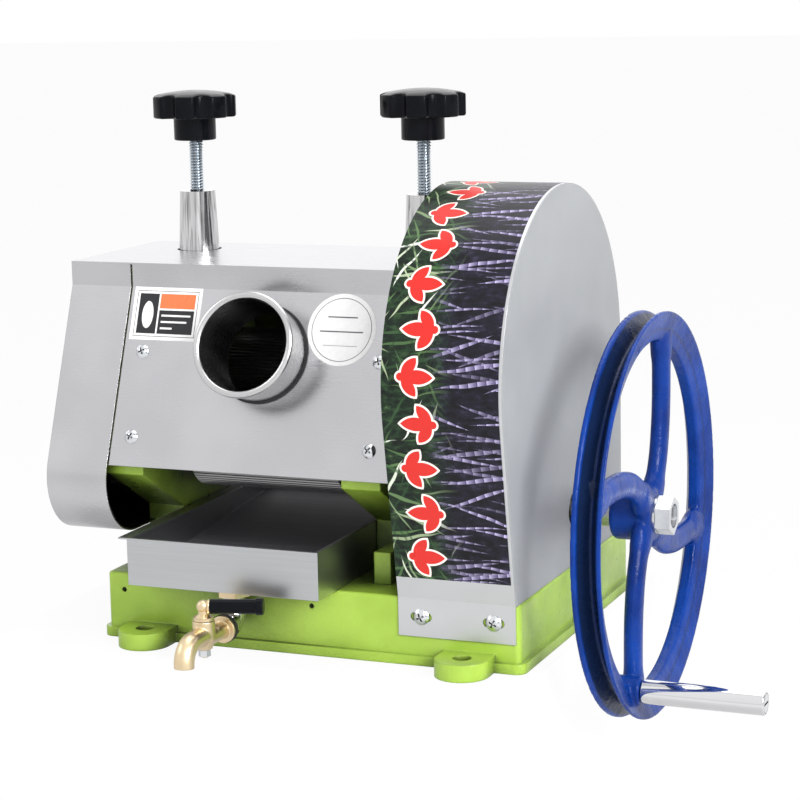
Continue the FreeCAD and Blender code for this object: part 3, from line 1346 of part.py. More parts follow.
def tap_plug_pieces():
    """The plug with its cap and ball, the lever, its grip and the nut below, round the plug's axis."""
    bottom, top, ball_z = v.plug_housing_bottom, v.plug_housing_top, v.ball_level
    stem = v.plug_stem / 2
    cap, cap_z = v.plug_cap / 2, top + v.end_play
    plug = Part.makeCylinder(v.plug_diameter / 2, cap_z - bottom, Vector(0, 0, bottom))
    plug = plug.fuse(Part.makeCylinder(cap, v.plug_cap_height, Vector(0, 0, cap_z)))
    plug = plug.fuse(Part.makeCone(cap * 0.85, stem * 1.6, 2.4, Vector(0, 0, cap_z + v.plug_cap_height)))
    plug = plug.fuse(Part.makeCylinder(stem * 1.6, ball_z - cap_z, Vector(0, 0, cap_z)))
    ball = Part.makeSphere(v.ball_diameter / 2, Vector(0, 0, ball_z))
    plug = plug.fuse(ball)
    plug = plug.fuse(Part.makeCylinder(stem, v.plug_nut_height + 1.5, Vector(0, 0, bottom), Z_AXIS * -1))
    way = Part.makeCylinder(v.waterway / 2, v.plug_diameter + 2,
                            Vector(-v.plug_diameter / 2 - 1, 0, v.tap_level + 2), X_AXIS)
    start, end = v.collar_start, v.collar_start + v.collar_length
    centre = Vector(0, 0, ball_z)
    rod = Part.makeCylinder(stem, v.grip_end - 4, centre, X_AXIS)
    plug = plug.cut(way).cut(rod)
    collar = Part.makeCylinder(v.collar_diameter / 2, v.collar_length, centre + X_AXIS * start,
                               X_AXIS).cut(ball)
    grip = Part.makeCylinder(v.grip_diameter / 2, v.grip_end - end, centre + X_AXIS * end, X_AXIS)
    rim = Part.makeCylinder(v.grip_collar / 2, v.grip_collar_length,
                            centre + X_AXIS * (v.grip_end - v.grip_collar_length), X_AXIS)
    rim = rim.makeFillet(1.2, [edge for edge in rim.Edges if len(edge.Vertexes) == 1])
    nut_z = bottom - v.end_play - v.plug_nut_height
    corner = v.plug_nut_across / 2 / math.cos(math.pi / 6)
    corners = [Vector(corner, 0, nut_z)]
    for i in range(1, 7):
        corners.append(Vector(corner * math.cos(math.pi / 3 * i), corner * math.sin(math.pi / 3 * i),
                              nut_z))
    nut = Part.Face(Part.makePolygon(corners[:6] + corners[:1])).extrude(Z_AXIS * v.plug_nut_height)
    nut = nut.cut(Part.makeCylinder(stem, v.plug_nut_height, Vector(0, 0, nut_z)))
    lever = rod.fuse(collar)
    return {"tap_plug": plug.cut(lever), "tap_plug_nut": nut, "tap_lever": lever,
            "tap_lever_grip": grip.fuse(rim).cut(rod)}


# ---- drive shaft and handwheel ----

def bearing_bracket():
    body = new_body("bracket_body")
    half, head = v.bracket_foot / 2, v.bracket_head / 2
    foot, y = v.base_height + v.bracket_foot_height, v.drive_y
    outline = chain(((y - half, v.base_height), (y + half, v.base_height)),
                    ((y + half, v.base_height), (y + half, foot)),
                    ((y + half, foot), (y + head, foot)), ((y + head, foot), (y + head, drive_z)),
                    ((y + head, drive_z), (y, drive_z + head), (y - head, drive_z)),
                    ((y - head, drive_z), (y - head, foot)),
                    ((y - head, foot), (y - half, foot)), ((y - half, foot), (y - half, v.base_height)))
    bore = circle(y, drive_z, drive_bush_outer)
    pad(body, sketch(body, "YZ_Plane", [outline, bore], "bracket_left"), "bracket_width")
    holes = [circle(v.bracket_left + v.bracket_width / 2, at, v.bolt_hole) for at in bracket_bolt_y()]
    last = pocket(body, sketch(body, "XY_Plane", holes, "base_height"), "bracket_foot_height",
                  along_normal=True)
    body.Tip = last
    node("bearing_bracket", body)
    bushes = [bush("frame_drive_bush", DRIVE_BUSH_OUTER, "drive_shaft", RIGHT_INNER, "frame_thickness",
                   "drive_y", DRIVE_Z, 1),
              bush("bracket_drive_bush", DRIVE_BUSH_OUTER, "drive_shaft", "bracket_left", "bracket_width",
                   "drive_y", DRIVE_Z, -1)]
    node("drive_shaft_bushes", group("drive_shaft_bushes", *bushes))


def drive_shaft():
    start = right_inner + 1
    shaft = Part.makeCylinder(v.drive_shaft / 2, v.hub_left - start, Vector(start, 0, 0), X_AXIS)
    end = v.hub_right + v.washer_thickness + v.wheel_nut_height - v.shaft_recess
    shaft = shaft.fuse(Part.makeCylinder(v.wheel_seat / 2, end - v.hub_left, Vector(v.hub_left, 0, 0),
                                         X_AXIS))
    pinion_x = right_outer + v.bull_gap + v.bull_width / 2 - v.pinion_width / 2
    key = v.key_size
    keys = []
    for x, length, diameter in ((pinion_x + 2, v.pinion_width - 4, v.drive_shaft),
                                (v.hub_left + 4, v.hub_right - v.hub_left - 8, v.wheel_seat)):
        keys.append(Part.makeBox(length, key, key, Vector(x, -key / 2, diameter / 2 - key / 2)))
    for solid in keys:
        shaft = shaft.cut(solid)
    centre = Vector(0, v.drive_y, drive_z)
    node("drive_shaft", shape_feature("drive_shaft", shaft, centre))
    node("drive_keys", shape_feature("drive_keys", Part.makeCompound(keys), centre))


def handwheel():
    """A cast wheel with a V-grooved rim, four bent arms, a long hub and a boss for the handle."""
    inner, outer = v.wheel_inner_face, v.wheel_inner_face + v.wheel_width
    radius, bore = v.wheel_diameter / 2, v.rim_bore / 2
    middle, floor = (inner + outer) / 2, radius - v.groove_depth
    half = v.groove_floor / 2
    narrow = v.rim_bore_width / 2
    section = [(middle - narrow, bore), (inner, radius), (inner + v.flange_edge, radius),
               (middle - half, floor),
               (middle + half, floor), (outer - v.flange_edge, radius), (outer, radius),
               (middle + narrow, bore)]
    corners = [Vector(x, 0, r) for x, r in section]
    rim = Part.Face(Part.makePolygon(corners + corners[:1])).revolve(ORIGIN, X_AXIS, 360)
    edges = [edge for edge in rim.Edges if rim_edge(edge, radius, bore)]
    rim = rim.makeFillet(1.2, edges)
    hub = Part.makeCylinder(v.hub_diameter / 2, v.hub_right - v.hub_left, Vector(v.hub_left, 0, 0), X_AXIS)
    hub = hub.makeFillet(2.5, [edge for edge in hub.Edges if len(edge.Vertexes) == 1])
    wheel = hub.fuse(rim)
    for i in range(4):
        arm = wheel_arm(middle)
        arm.rotate(ORIGIN, X_AXIS, 90 * i)
        wheel = wheel.fuse(arm)
    spot = handle_centre()
    wheel = wheel.fuse(Part.makeCylinder(v.handle_boss / 2, v.wheel_width + v.handle_boss_height,
                                         Vector(inner, spot.y, spot.z), X_AXIS))
    wheel = wheel.cut(Part.makeCylinder(v.handle_pin / 2, 2 * v.wheel_width,
                                        Vector(inner - 1, spot.y, spot.z), X_AXIS))
    wheel = wheel.cut(Part.makeCylinder(v.wheel_seat / 2, v.hub_right - v.hub_left + 2,
                                        Vector(v.hub_left - 1, 0, 0), X_AXIS))
    wheel = wheel.cut(keyway(v.hub_left, v.hub_right - v.hub_left, v.wheel_seat))
    node("handwheel", shape_feature("handwheel", wheel, Vector(0, v.drive_y, drive_z)))


def rim_edge(edge, radius, bore):
    """True for the rim's outer and inner corners, away from the groove."""
    curve = edge.Curve
    return hasattr(curve,
                   "Radius") and (abs(curve.Radius - radius) < 0.01 or abs(curve.Radius - bore) < 0.01)


def wheel_arm(x):
    """One arm: rises from the hub, bows to one side and meets the rim's bore."""
    reach = v.rim_bore / 2
    route = [(0.06, 0.04), (0.17, 0.145), (0.31, 0.22), (0.45, 0.262), (0.60, 0.283), (0.80, 0.288),
             (1.04, 0.284)]
    points = [Vector(x, share * reach, along * reach) for along, share in route]
    curve = Part.BSplineCurve()
    curve.interpolate(points)
    ring = Part.Ellipse(ORIGIN, v.arm_width / 2, v.arm_thickness / 2).toShape()
    start = curve.tangent(curve.FirstParameter)[0]
    side = X_AXIS.cross(start)
    turn = FreeCAD.Rotation(side, X_AXIS, start, "ZXY")
    ring.Placement = FreeCAD.Placement(points[0], turn)
    return Part.Wire([curve.toShape()]).makePipeShell([Part.Wire([ring])], True, False)


def handle_centre():
    """The handle's axis, measured from the wheel's."""
    angle = math.radians(v.handle_angle)
    return Vector(0, v.handle_circle * math.sin(angle), v.handle_circle * math.cos(angle))


def wheel_fasteners():
    at = ("hub_right", "drive_y", DRIVE_Z)
    washer = cylinder("wheel_washer_disc", "washer_diameter", "washer_thickness", at, X_AXIS)
    hole = cylinder("wheel_washer_bore", "wheel_seat", "washer_thickness", at, X_AXIS)
    node("wheel_washer", cut("wheel_washer", washer, hole))
    at = ("hub_right + washer_thickness", "drive_y", DRIVE_Z)
    nut = prism("wheel_nut_hex", "wheel_nut_across", "wheel_nut_height", at, X_AXIS)
    reach = number(2 * v.wheel_nut_across)
    lens = doc.addObject("Part::Sphere", "wheel_nut_round")
    bind(lens, Radius="wheel_nut_across * 0.76")
    place(lens, "hub_right + washer_thickness + wheel_nut_height * 0.35", "drive_y", DRIVE_Z)
    crowned = doc.addObject("Part::Common", "wheel_nut_crowned")
    crowned.Base, crowned.Tool = nut, lens
    bore = cylinder("wheel_nut_bore", "wheel_seat", reach, at, X_AXIS)
    node("wheel_nut", cut("wheel_nut", crowned, bore))


def crank_handle():
    spot = handle_centre() + Vector(0, v.drive_y, drive_z)
    start = v.wheel_inner_face + v.wheel_width + v.handle_boss_height
    end = start + v.handle_gap + v.handle_length
    place_at = Vector(0, spot.y, spot.z)
    tube = Part.makeCylinder(v.handle_tube / 2, v.handle_length, Vector(start + v.handle_gap, 0, 0), X_AXIS)
    tube = tube.makeFillet(1.4, [edge for edge in tube.Edges if len(edge.Vertexes) == 1])
    bore = Part.makeCylinder(v.handle_pin / 2 + v.running, v.handle_length,
                             Vector(start + v.handle_gap, 0, 0), X_AXIS)
    head_x = end - v.handle_head_height
    recess = Part.makeCylinder(v.handle_head / 2 + v.handle_gap, v.handle_head_height + v.handle_gap,
                               Vector(head_x - v.handle_gap, 0, 0), X_AXIS)
    node("handle_sleeve", shape_feature("handle_sleeve", tube.cut(bore).cut(recess), place_at))
    pin = Part.makeCylinder(v.handle_pin / 2, head_x - v.wheel_inner_face, Vector(v.wheel_inner_face, 0, 0),
                            X_AXIS)
    head = Part.makeCylinder(v.handle_head / 2, v.handle_head_height, Vector(head_x, 0, 0), X_AXIS)
    slot = Part.makeBox(2, v.handle_head * 0.8, 1.6, Vector(end - 1.4, -v.handle_head * 0.4, -0.8))
    node("handle_pin", shape_feature("handle_pin", pin.fuse(head).cut(slot), place_at))


# ---- build everything ----

base_casting()
side_frame("left_side_frame", LEFT_MID, has_drive_bush=False)
side_frame("right_side_frame", RIGHT_MID, has_drive_bush=True)
casting_bolts()
tie_bolts()
top_cover()
left_gear_cover()
screw_group("cover_screws", panel_screw_spots(), v.pan_head)
feed_tube()
stickers()
roller_gears()
bull_gear()
drive_pinion()
lower_rollers()
top_roller()
turner_plate()
outlet_chute()
gear_guard()
guard_film()
guard_screws()
for side_name, expression, mid_x in (("left", LEFT_MID, left_mid), ("right", RIGHT_MID, right_mid)):
    screw_sleeve(side_name, expression)
    pressure_screw(side_name, mid_x)
    star_knob(side_name, mid_x)
juice_tray()
drain()
tap()
bearing_bracket()
drive_shaft()
handwheel()
wheel_fasteners()
crank_handle()

doc.recompute()
failed = [item.Label for item in doc.Objects if "Invalid" in item.State or "Error" in item.State]
bad = [label for label, item in nodes.items() if item.Shape.isNull() or not item.Shape.isValid()]
if failed or bad:
    raise RuntimeError(f"failed objects: {failed}; bad shapes: {bad}")

os.makedirs("parts", exist_ok=True)
for label, item in nodes.items():
    item.Shape.exportStep(f"parts/{label}.step")
print(len(nodes), "sub-parts, drive axis height", round(drive_z, 4), "front roller", round(front_z, 4),
      "rear roller", round(rear_z, 4))
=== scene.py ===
# %% [markdown]
# # A hand-cranked cane mill
# This lesson dresses a mill that squeezes the juice out of sugar cane. Its exact solids come first, as a
# fixed frame in metres: +X points to the handwheel, +Y to the back, +Z up. Every piece made here goes where
# those solids are, rides on the body that carries it, and gets a finish built from nodes.

# %% Load the frame
import json
import math

import bpy
import bmesh
from mathutils import Matrix, Vector


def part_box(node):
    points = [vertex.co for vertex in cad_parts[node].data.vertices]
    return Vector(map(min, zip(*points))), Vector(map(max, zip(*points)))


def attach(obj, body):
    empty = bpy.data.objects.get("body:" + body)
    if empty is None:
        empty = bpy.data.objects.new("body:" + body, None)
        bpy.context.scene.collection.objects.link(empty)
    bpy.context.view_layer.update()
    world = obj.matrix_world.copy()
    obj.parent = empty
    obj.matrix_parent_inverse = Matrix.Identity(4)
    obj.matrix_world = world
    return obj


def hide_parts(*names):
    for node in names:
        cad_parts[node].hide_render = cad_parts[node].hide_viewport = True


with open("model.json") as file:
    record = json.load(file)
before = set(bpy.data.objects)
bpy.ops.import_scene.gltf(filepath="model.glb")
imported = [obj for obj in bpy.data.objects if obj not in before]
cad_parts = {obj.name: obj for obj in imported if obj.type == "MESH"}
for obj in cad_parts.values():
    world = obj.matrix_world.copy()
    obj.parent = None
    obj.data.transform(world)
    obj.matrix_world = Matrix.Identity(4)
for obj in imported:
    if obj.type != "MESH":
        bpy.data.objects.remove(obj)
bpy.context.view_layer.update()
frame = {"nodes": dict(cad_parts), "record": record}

scene = bpy.context.scene
MM = 0.001


def placed(name, data):
    """A new object for a camera, a lamp or a mesh, linked to the scene."""
    made = bpy.data.objects.new(name, data)
    scene.collection.objects.link(made)
    return made


# %% [markdown]
# ## The camera
# A long lens keeps upright edges nearly parallel, as product pictures do. The camera is given by its place
# and by the directions of its right and upper edges, which says more plainly where it looks than three
# turned angles would.

# %% Place the camera
CAMERA_PLACE = Vector((0.77796, -1.82214, 0.53615))
CAMERA_RIGHT = Vector((0.9255, 0.3781, -0.0199))
CAMERA_UP = Vector((-0.0481, 0.1696, 0.9843))
LENS = 106.18
right = CAMERA_RIGHT.normalized()
up = (CAMERA_UP - right * CAMERA_UP.dot(right)).normalized()
turned = Matrix((right, up, right.cross(up))).transposed().to_4x4()
lens = bpy.data.cameras.new("camera")
lens.lens = LENS
lens.sensor_width = 36
camera = placed("camera", lens)
camera.matrix_world = Matrix.Translation(CAMERA_PLACE) @ turned
scene.camera = camera
scene.view_settings.view_transform = "Standard"
print("camera at", [round(c, 3) for c in camera.location], "lens", LENS, "mm")

# %% [markdown]
# ## Node helpers
# A finish is a small graph of nodes. Helpers keep each graph readable: one adds a node and fills its
# inputs with numbers or with other nodes' outputs, and the others do arithmetic, ramps and mixes.


# %% Helpers for node graphs
def fill(tree, target, value):
    """Sets an input to a plain value, or joins it to another node's output."""
    if isinstance(value, bpy.types.NodeSocket):
        tree.links.new(value, target)
    else:
        target.default_value = value


def add(tree, kind, inputs=None, out=0, **settings):
    """Adds a node with its options and inputs, and gives one of its outputs."""
    made = tree.nodes.new(kind)
    for key, value in settings.items():
        setattr(made, key, value)
    for key, value in (inputs or {}).items():
        fill(tree, made.inputs[key], value)
    return made.outputs[out]


def object_place(tree):
    return add(tree, "ShaderNodeTexCoord", out="Object")


def maths(tree, operation, *values, clamp=False):
    return add(tree, "ShaderNodeMath", dict(enumerate(values)), operation=operation, use_clamp=clamp)


def times(tree, *values):
    return maths(tree, "MULTIPLY", *values)


def plus(tree, *values):
    return maths(tree, "ADD", *values)


def minus(tree, *values):
    return maths(tree, "SUBTRACT", *values)


def over(tree, *values):
    return maths(tree, "DIVIDE", *values)


def scaled(tree, value, factor, offset):
    return maths(tree, "MULTIPLY_ADD", value, factor, offset)


def distance(tree, x, y):
    """How far a point is from the origin."""
    return maths(tree, "SQRT", scaled(tree, x, x, times(tree, y, y)))


def inside(tree, value, low, high):
    """1 between two limits, 0 outside them."""
    return times(tree, maths(tree, "GREATER_THAN", value, low), maths(tree, "LESS_THAN", value, high))


def separate(tree, vector):
    """The three numbers of a vector."""
    made = tree.nodes.new("ShaderNodeSeparateXYZ")
    tree.links.new(vector, made.inputs[0])
    return made.outputs[0], made.outputs[1], made.outputs[2]


def between(tree, value, low, high):
    """Runs smoothly from 0 at low to 1 at high; low may be the larger."""
    return add(tree, "ShaderNodeMapRange", {"Value": value, "From Min": low, "From Max": high},
               interpolation_type="SMOOTHSTEP")


def ramp(tree, factor, *stops):
    """A colour ramp from (place, colour) pairs; a single number is a grey."""
    made = tree.nodes.new("ShaderNodeValToRGB")
    while len(made.color_ramp.elements) < len(stops):
        made.color_ramp.elements.new(0.5)
    for element, (place, colour) in zip(made.color_ramp.elements, stops):
        element.position = place
        element.color = (*colour, 1) if isinstance(colour, tuple) else (colour, colour, colour, 1)
    tree.links.new(factor, made.inputs[0])
    return made.outputs[0]


def mix(tree, factor, first, second, blend="MIX"):
    made = tree.nodes.new("ShaderNodeMix")
    made.data_type = "RGBA"
    made.blend_type = blend
    for key, value in ((0, factor), (6, first), (7, second)):
        if isinstance(value, tuple):
            value = (*value, 1) if len(value) == 3 else value
        fill(tree, made.inputs[key], value)
    return made.outputs[2]


# %% [markdown]
# ## Studio
# Bright steel looks like what surrounds it, so the room matters as much as the metal. The world is an even
# white to the eye. In reflections it also has darker and brighter upright bands, like flags and soft boxes
# around a product table, and these draw the streaks on the sleeves and the tube. It is brighter above the
# horizon than below. Four large lamps shape the forms gently, and a small one leaves sparks on curved
# enamel. The front lamp is kept out of reflections, because flat panels would mirror it as a patch.

# %% Light the studio
world = bpy.data.worlds.new("studio")
scene.world = world
world.use_nodes = True
tree = world.node_tree
tree.nodes.clear()
east, north, rise = separate(tree, add(tree, "ShaderNodeTexCoord"))
around = maths(tree, "ARCTAN2", east, times(tree, north, -1.0))
turn = scaled(tree, around, 1 / math.tau, 0.5)
# Each band is a share of a full turn and its brightness.
BANDS = ((0.0, 1.30), (0.10, 1.26), (0.15, 0.60), (0.19, 0.92), (0.25, 0.70), (0.29, 0.95), (0.34, 0.78),
         (0.40, 0.95), (0.46, 0.92), (0.53, 0.80), (0.575, 1.35), (0.604, 1.30), (0.610, 0.02),
         (0.626, 0.03), (0.634, 0.42), (0.660, 0.30), (0.672, 0.90), (0.73, 0.62), (0.792, 0.60),
         (0.798, 0.03), (0.815, 0.04), (0.825, 0.60), (0.90, 0.85), (0.93, 1.15), (1.0, 1.30))
bands = ramp(tree, turn, *BANDS)
HEIGHTS = ((0.0, 0.65), (0.46, 0.66), (0.54, 1.0), (1.0, 1.05))
height = ramp(tree, scaled(tree, rise, 0.5, 0.5), *HEIGHTS)
reflected = mix(tree, 1.0, bands, height, "MULTIPLY")
rays = tree.nodes.new("ShaderNodeLightPath")
WHITE, SKY_POWER = (1, 1, 1, 1), 0.66
eye, gloss, soft = [add(tree, "ShaderNodeBackground", {"Color": colour, "Strength": power})
                    for colour, power in ((WHITE, 1.0), (reflected, 1.0), (WHITE, SKY_POWER))]
lit = add(tree, "ShaderNodeMixShader", {0: rays.outputs["Is Glossy Ray"], 1: soft, 2: gloss})
seen = add(tree, "ShaderNodeMixShader", {0: rays.outputs["Is Camera Ray"], 1: lit, 2: eye})
tree.links.new(seen, tree.nodes.new("ShaderNodeOutputWorld").inputs[0])

# Each lamp has a place and a size in metres, and a power in watts. All aim at the middle of the mill.
LAMPS = (("key", (2.4, -1.3, 1.4), 1.2, 64), ("left", (-2.5, -1.0, 2.0), 1.0, 10),
         ("crown", (0.3, 0.6, 2.6), 2.0, 24), ("front", (1.6, -2.4, 0.5), 1.2, 20),
         ("spark", (1.5, -1.7, 1.7), 0.14, 7))
LAMPS_AIM = Vector((0, 0, 0.15))
for name, place, size, power in LAMPS:
    light = bpy.data.lights.new(name, "AREA")
    light.size = size
    light.energy = power
    lamp = placed(name, light)
    aim = (LAMPS_AIM - Vector(place)).to_track_quat("-Z", "Y")
    lamp.matrix_world = Matrix.Translation(place) @ aim.to_matrix().to_4x4()
    lamp.visible_glossy = name != "front"
print("lamps", len(LAMPS))

# %% [markdown]
# ## Floor and stand
# The wheel and its handle swing below the feet of the mill, so it stands on a low white block, as it would
# at the edge of a bench. Both are paper white to the eye and keep a trace of shadow. In reflections they
# are grey near the mill and paler farther off, so that the steel mirrors neither a glare nor a horizon.


# %% Make the floor and the stand
STAGE_BLOCKS = (("floor", (-30, -30, -0.32), (30, 30, -0.30)),
                ("stand", (-0.27, -0.19, -0.30), (0.197, 0.19, 0)))
PAPER_MIRRORED = ((0.0, 0.46), (0.40, 0.58), (0.8, 0.86), (1.0, 0.88))
SEEN_WHITE, SEEN_MIRRORED = 0.93, 0.8


def pale_paper():
    """White to the eye but for a share that takes the shadow, and grey in reflections."""
    made = bpy.data.materials.new("pale_paper")
    made.use_nodes = True
    tree = made.node_tree
    tree.nodes.clear()
    rays = tree.nodes.new("ShaderNodeLightPath")
    fleck = add(tree, "ShaderNodeTexNoise", {"Scale": 900.0})
    grain = ramp(tree, fleck, (0.4, 0.85), (0.6, 0.87))
    paper = add(tree, "ShaderNodeBsdfDiffuse", {"Color": grain})
    glow = add(tree, "ShaderNodeEmission", {"Color": WHITE, "Strength": 1.0})
    away = add(tree, "ShaderNodeVectorMath", {0: object_place(tree)}, out="Value", operation="LENGTH")
    pale = add(tree, "ShaderNodeEmission", {"Color": ramp(tree, away, *PAPER_MIRRORED), "Strength": 1.0})
    share = times(tree, rays.outputs["Is Camera Ray"], SEEN_WHITE)
    shown = add(tree, "ShaderNodeMixShader", {0: share, 1: paper, 2: glow})
    mirrored = times(tree, rays.outputs["Is Glossy Ray"], SEEN_MIRRORED)
    shown = add(tree, "ShaderNodeMixShader", {0: mirrored, 1: shown, 2: pale})
    tree.links.new(shown, tree.nodes.new("ShaderNodeOutputMaterial").inputs[0])
    return made


def stage_block(name, low, high, finish):
    centre = [(a + b) / 2 for a, b in zip(low, high)]
    size = [b - a for a, b in zip(low, high)]
    made = bmesh.new()
    place = Matrix.Translation(centre) @ Matrix.Diagonal((*size, 1))
    bmesh.ops.create_cube(made, size=1, matrix=place)
    mesh = bpy.data.meshes.new(name)
    made.to_mesh(mesh)
    mesh.materials.append(finish)
    placed(name, mesh)


paper = pale_paper()
for name, low, high in STAGE_BLOCKS:
    stage_block(name, low, high, paper)
print("floor and stand")

# %% [markdown]
# ## Finishes
# Every finish starts from the same shader and adds what the real surface shows: unevenness in its colour,
# in how sharply it reflects, and in its relief. The patterns read object coordinates, which are metres of
# the real machine, so a grain of half a millimetre is half a millimetre everywhere.


# %% Start a finish
finishes = {}


def finish(name, colour, metallic=0.0, roughness=0.4, **sockets):
    """Makes a material and keeps it under its name. Gives its tree, and its shader with plain values."""
    made = finishes[name] = bpy.data.materials.new(name)
    made.use_nodes = True
    tree = made.node_tree
    shader = tree.nodes["Principled BSDF"]
    shader.inputs["Base Color"].default_value = (*colour, 1)
    shader.inputs["Metallic"].default_value = metallic
    shader.inputs["Roughness"].default_value = roughness
    for key, value in sockets.items():
        shader.inputs[key.replace("_", " ")].default_value = value
    return tree, shader


def noise(tree, scale, stretch=(1, 1, 1), detail=2.0, rough=0.5):
    """Noise in object coordinates; stretch squeezes it along each axis."""
    place = add(tree, "ShaderNodeMapping", {"Vector": object_place(tree), "Scale": stretch})
    return add(tree, "ShaderNodeTexNoise", {"Vector": place, "Scale": scale, "Detail": detail,
                                            "Roughness": rough})


def relief(tree, shader, *layers, edge=0.0):
    """Adds height layers, each (pattern, depth in metres), to the shader's normal; edge rounds corners."""
    normal = add(tree, "ShaderNodeBevel", {"Radius": edge}, samples=6) if edge else None
    for pattern, depth in layers:
        bump = tree.nodes.new("ShaderNodeBump")
        bump.inputs["Distance"].default_value = depth
        bump.inputs["Strength"].default_value = 1.0
        tree.links.new(pattern, bump.inputs["Height"])
        if normal:
            tree.links.new(normal, bump.inputs["Normal"])
        normal = bump.outputs[0]
    for key in ("Normal", "Coat Normal"):
        tree.links.new(normal, shader.inputs[key])


def vary(tree, shader, key, pattern, low, high):
    """Lets an input run from low to high with a pattern."""
    spread = add(tree, "ShaderNodeMapRange", {"Value": pattern, "From Min": 0.3, "From Max": 0.7,
                                              "To Min": low, "To Max": high})
    tree.links.new(spread, shader.inputs[key])


# %% [markdown]
# ### Enamel on castings
# Sprayed enamel pulls into small dimples like orange peel, and the sand mould under it leaves a slow
# unevenness. Two layers of relief at those sizes, and a clear coat, make cast iron under paint. An edge
# normal rounds the corners, as thick paint does. Ambient occlusion finds seams and deep places, and there
# the colour gets painted shade.


# %% Mix the enamels
def painted_hollow_shade(tree, colour, amount, reach, dark, shut=0.18, wide=0.52):
    """Paints shade into a colour where surfaces within reach close it in: fully at shut, not at all from
    wide on.
    """
    hollow = add(tree, "ShaderNodeAmbientOcclusion", {"Distance": reach}, out="AO", samples=8)
    return mix(tree, times(tree, between(tree, hollow, wide, shut), amount), colour, dark)


def enamel(name, dark, light, peel, cast, edge=0.0022, rough=(0.26, 0.44), gloss=0.4, coat=0.3):
    """Enamel with dimples and casting waves of given depths. Its colour is left for the caller to join."""
    tree, shader = finish(name, light, roughness=0.34, Coat_Weight=coat, Coat_Roughness=0.07,
                          Specular_IOR_Level=gloss)
    broad = noise(tree, 22, detail=3)
    colour = ramp(tree, broad, (0.30, dark), (0.62, light))
    vary(tree, shader, "Roughness", noise(tree, 55, detail=3), *rough)
    relief(tree, shader, (noise(tree, 75, detail=3), cast), (noise(tree, 700, detail=1), peel), edge=edge)
    return tree, shader, colour


def joint_place(name):
    joint = next(j for j in frame["record"]["behaviour"]["joints"] if j["name"] == name)
    return Vector(joint["pos_m"])


LIME_DARK, LIME_LIGHT = (0.30, 0.465, 0.046), (0.38, 0.57, 0.070)
BLUE_DARK, BLUE_LIGHT, GROOVE_PAINTED_SHADE = (0.001, 0.018, 0.14), (0.002, 0.038, 0.255), (0.006, 0.012, 0.028)
# Painted seam shade darkens only the frames, above the base: the first number is where that starts, in
# metres up.
SEAM_SHADE_LEVELS = (0.085, 0.10)
# The groove's painted shade fades in and out over these radii and distances from its middle.
GROOVE_INNER, GROOVE_OUTER, GROOVE_SIDE = (0.1505, 0.1530), (0.1664, 0.1640), (0.0086, 0.0070)
EDGE_TO_GROOVE = 0.0138

tree, shader, colour = enamel("lime_enamel", LIME_DARK, LIME_LIGHT, 0.00005, 0.0003)
inner = between(tree, separate(tree, object_place(tree))[2], *SEAM_SHADE_LEVELS)
# Painted shade: near black in seams and slits on the frames, and darker in places deep inside the mill.
seam_shade = painted_hollow_shade(tree, colour, inner, 0.004, (0.006, 0.007, 0.005), shut=0.50, wide=0.80)
tree.links.new(painted_hollow_shade(tree, seam_shade, 0.9, 0.14, (0.010, 0.014, 0.006)), shader.inputs["Base Color"])


def wheel_enamel():
    """The blue coat, with painted shade that makes the belt groove almost black."""
    tree, shader, colour = enamel("blue_enamel", BLUE_DARK, BLUE_LIGHT, 0.00030, 0.0010, edge=0.0,
                                  rough=(0.20, 0.40), gloss=0.08, coat=0.22)
    x, y, z = separate(tree, object_place(tree))
    above = minus(tree, z, joint_place("crank_turn").z)
    radius = distance(tree, y, above)
    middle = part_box("handwheel")[1].x - EDGE_TO_GROOVE
    aside = maths(tree, "ABSOLUTE", minus(tree, x, middle))
    groove = times(tree, between(tree, radius, *GROOVE_INNER), between(tree, radius, *GROOVE_OUTER))
    groove = times(tree, groove, between(tree, aside, *GROOVE_SIDE))
    # Painted shade: the groove's colour goes almost black, as the recess in shade looks.
    tree.links.new(mix(tree, times(tree, groove, 0.88), colour, GROOVE_PAINTED_SHADE), shader.inputs["Base Color"])


wheel_enamel()
print("enamels on lime and blue castings")

# %% [markdown]
# ### Steel
# Rolled sheet has a fine grain along one direction. Noise squeezed a hundred times across that direction
# gives the grain, both in the relief and in how sharply the metal reflects. The sleeves also have painted
# reflections, upright streaks in their colour, and most steels get painted shade where other parts close
# them in.


# %% Roll and turn the steels
PAINTED_REFLECTIONS = ((0.33, 0.10), (0.40, 0.62), (0.45, 1.0), (0.58, 1.0), (0.61, 0.30), (0.66, 0.95))
ALONG_X, ALONG_Z, AROUND_TUBE = (1, 110, 110), (110, 110, 1), (3, 110, 30)
ROUND_X, NO_GRAIN = (110, 1, 1), (1, 1, 1)


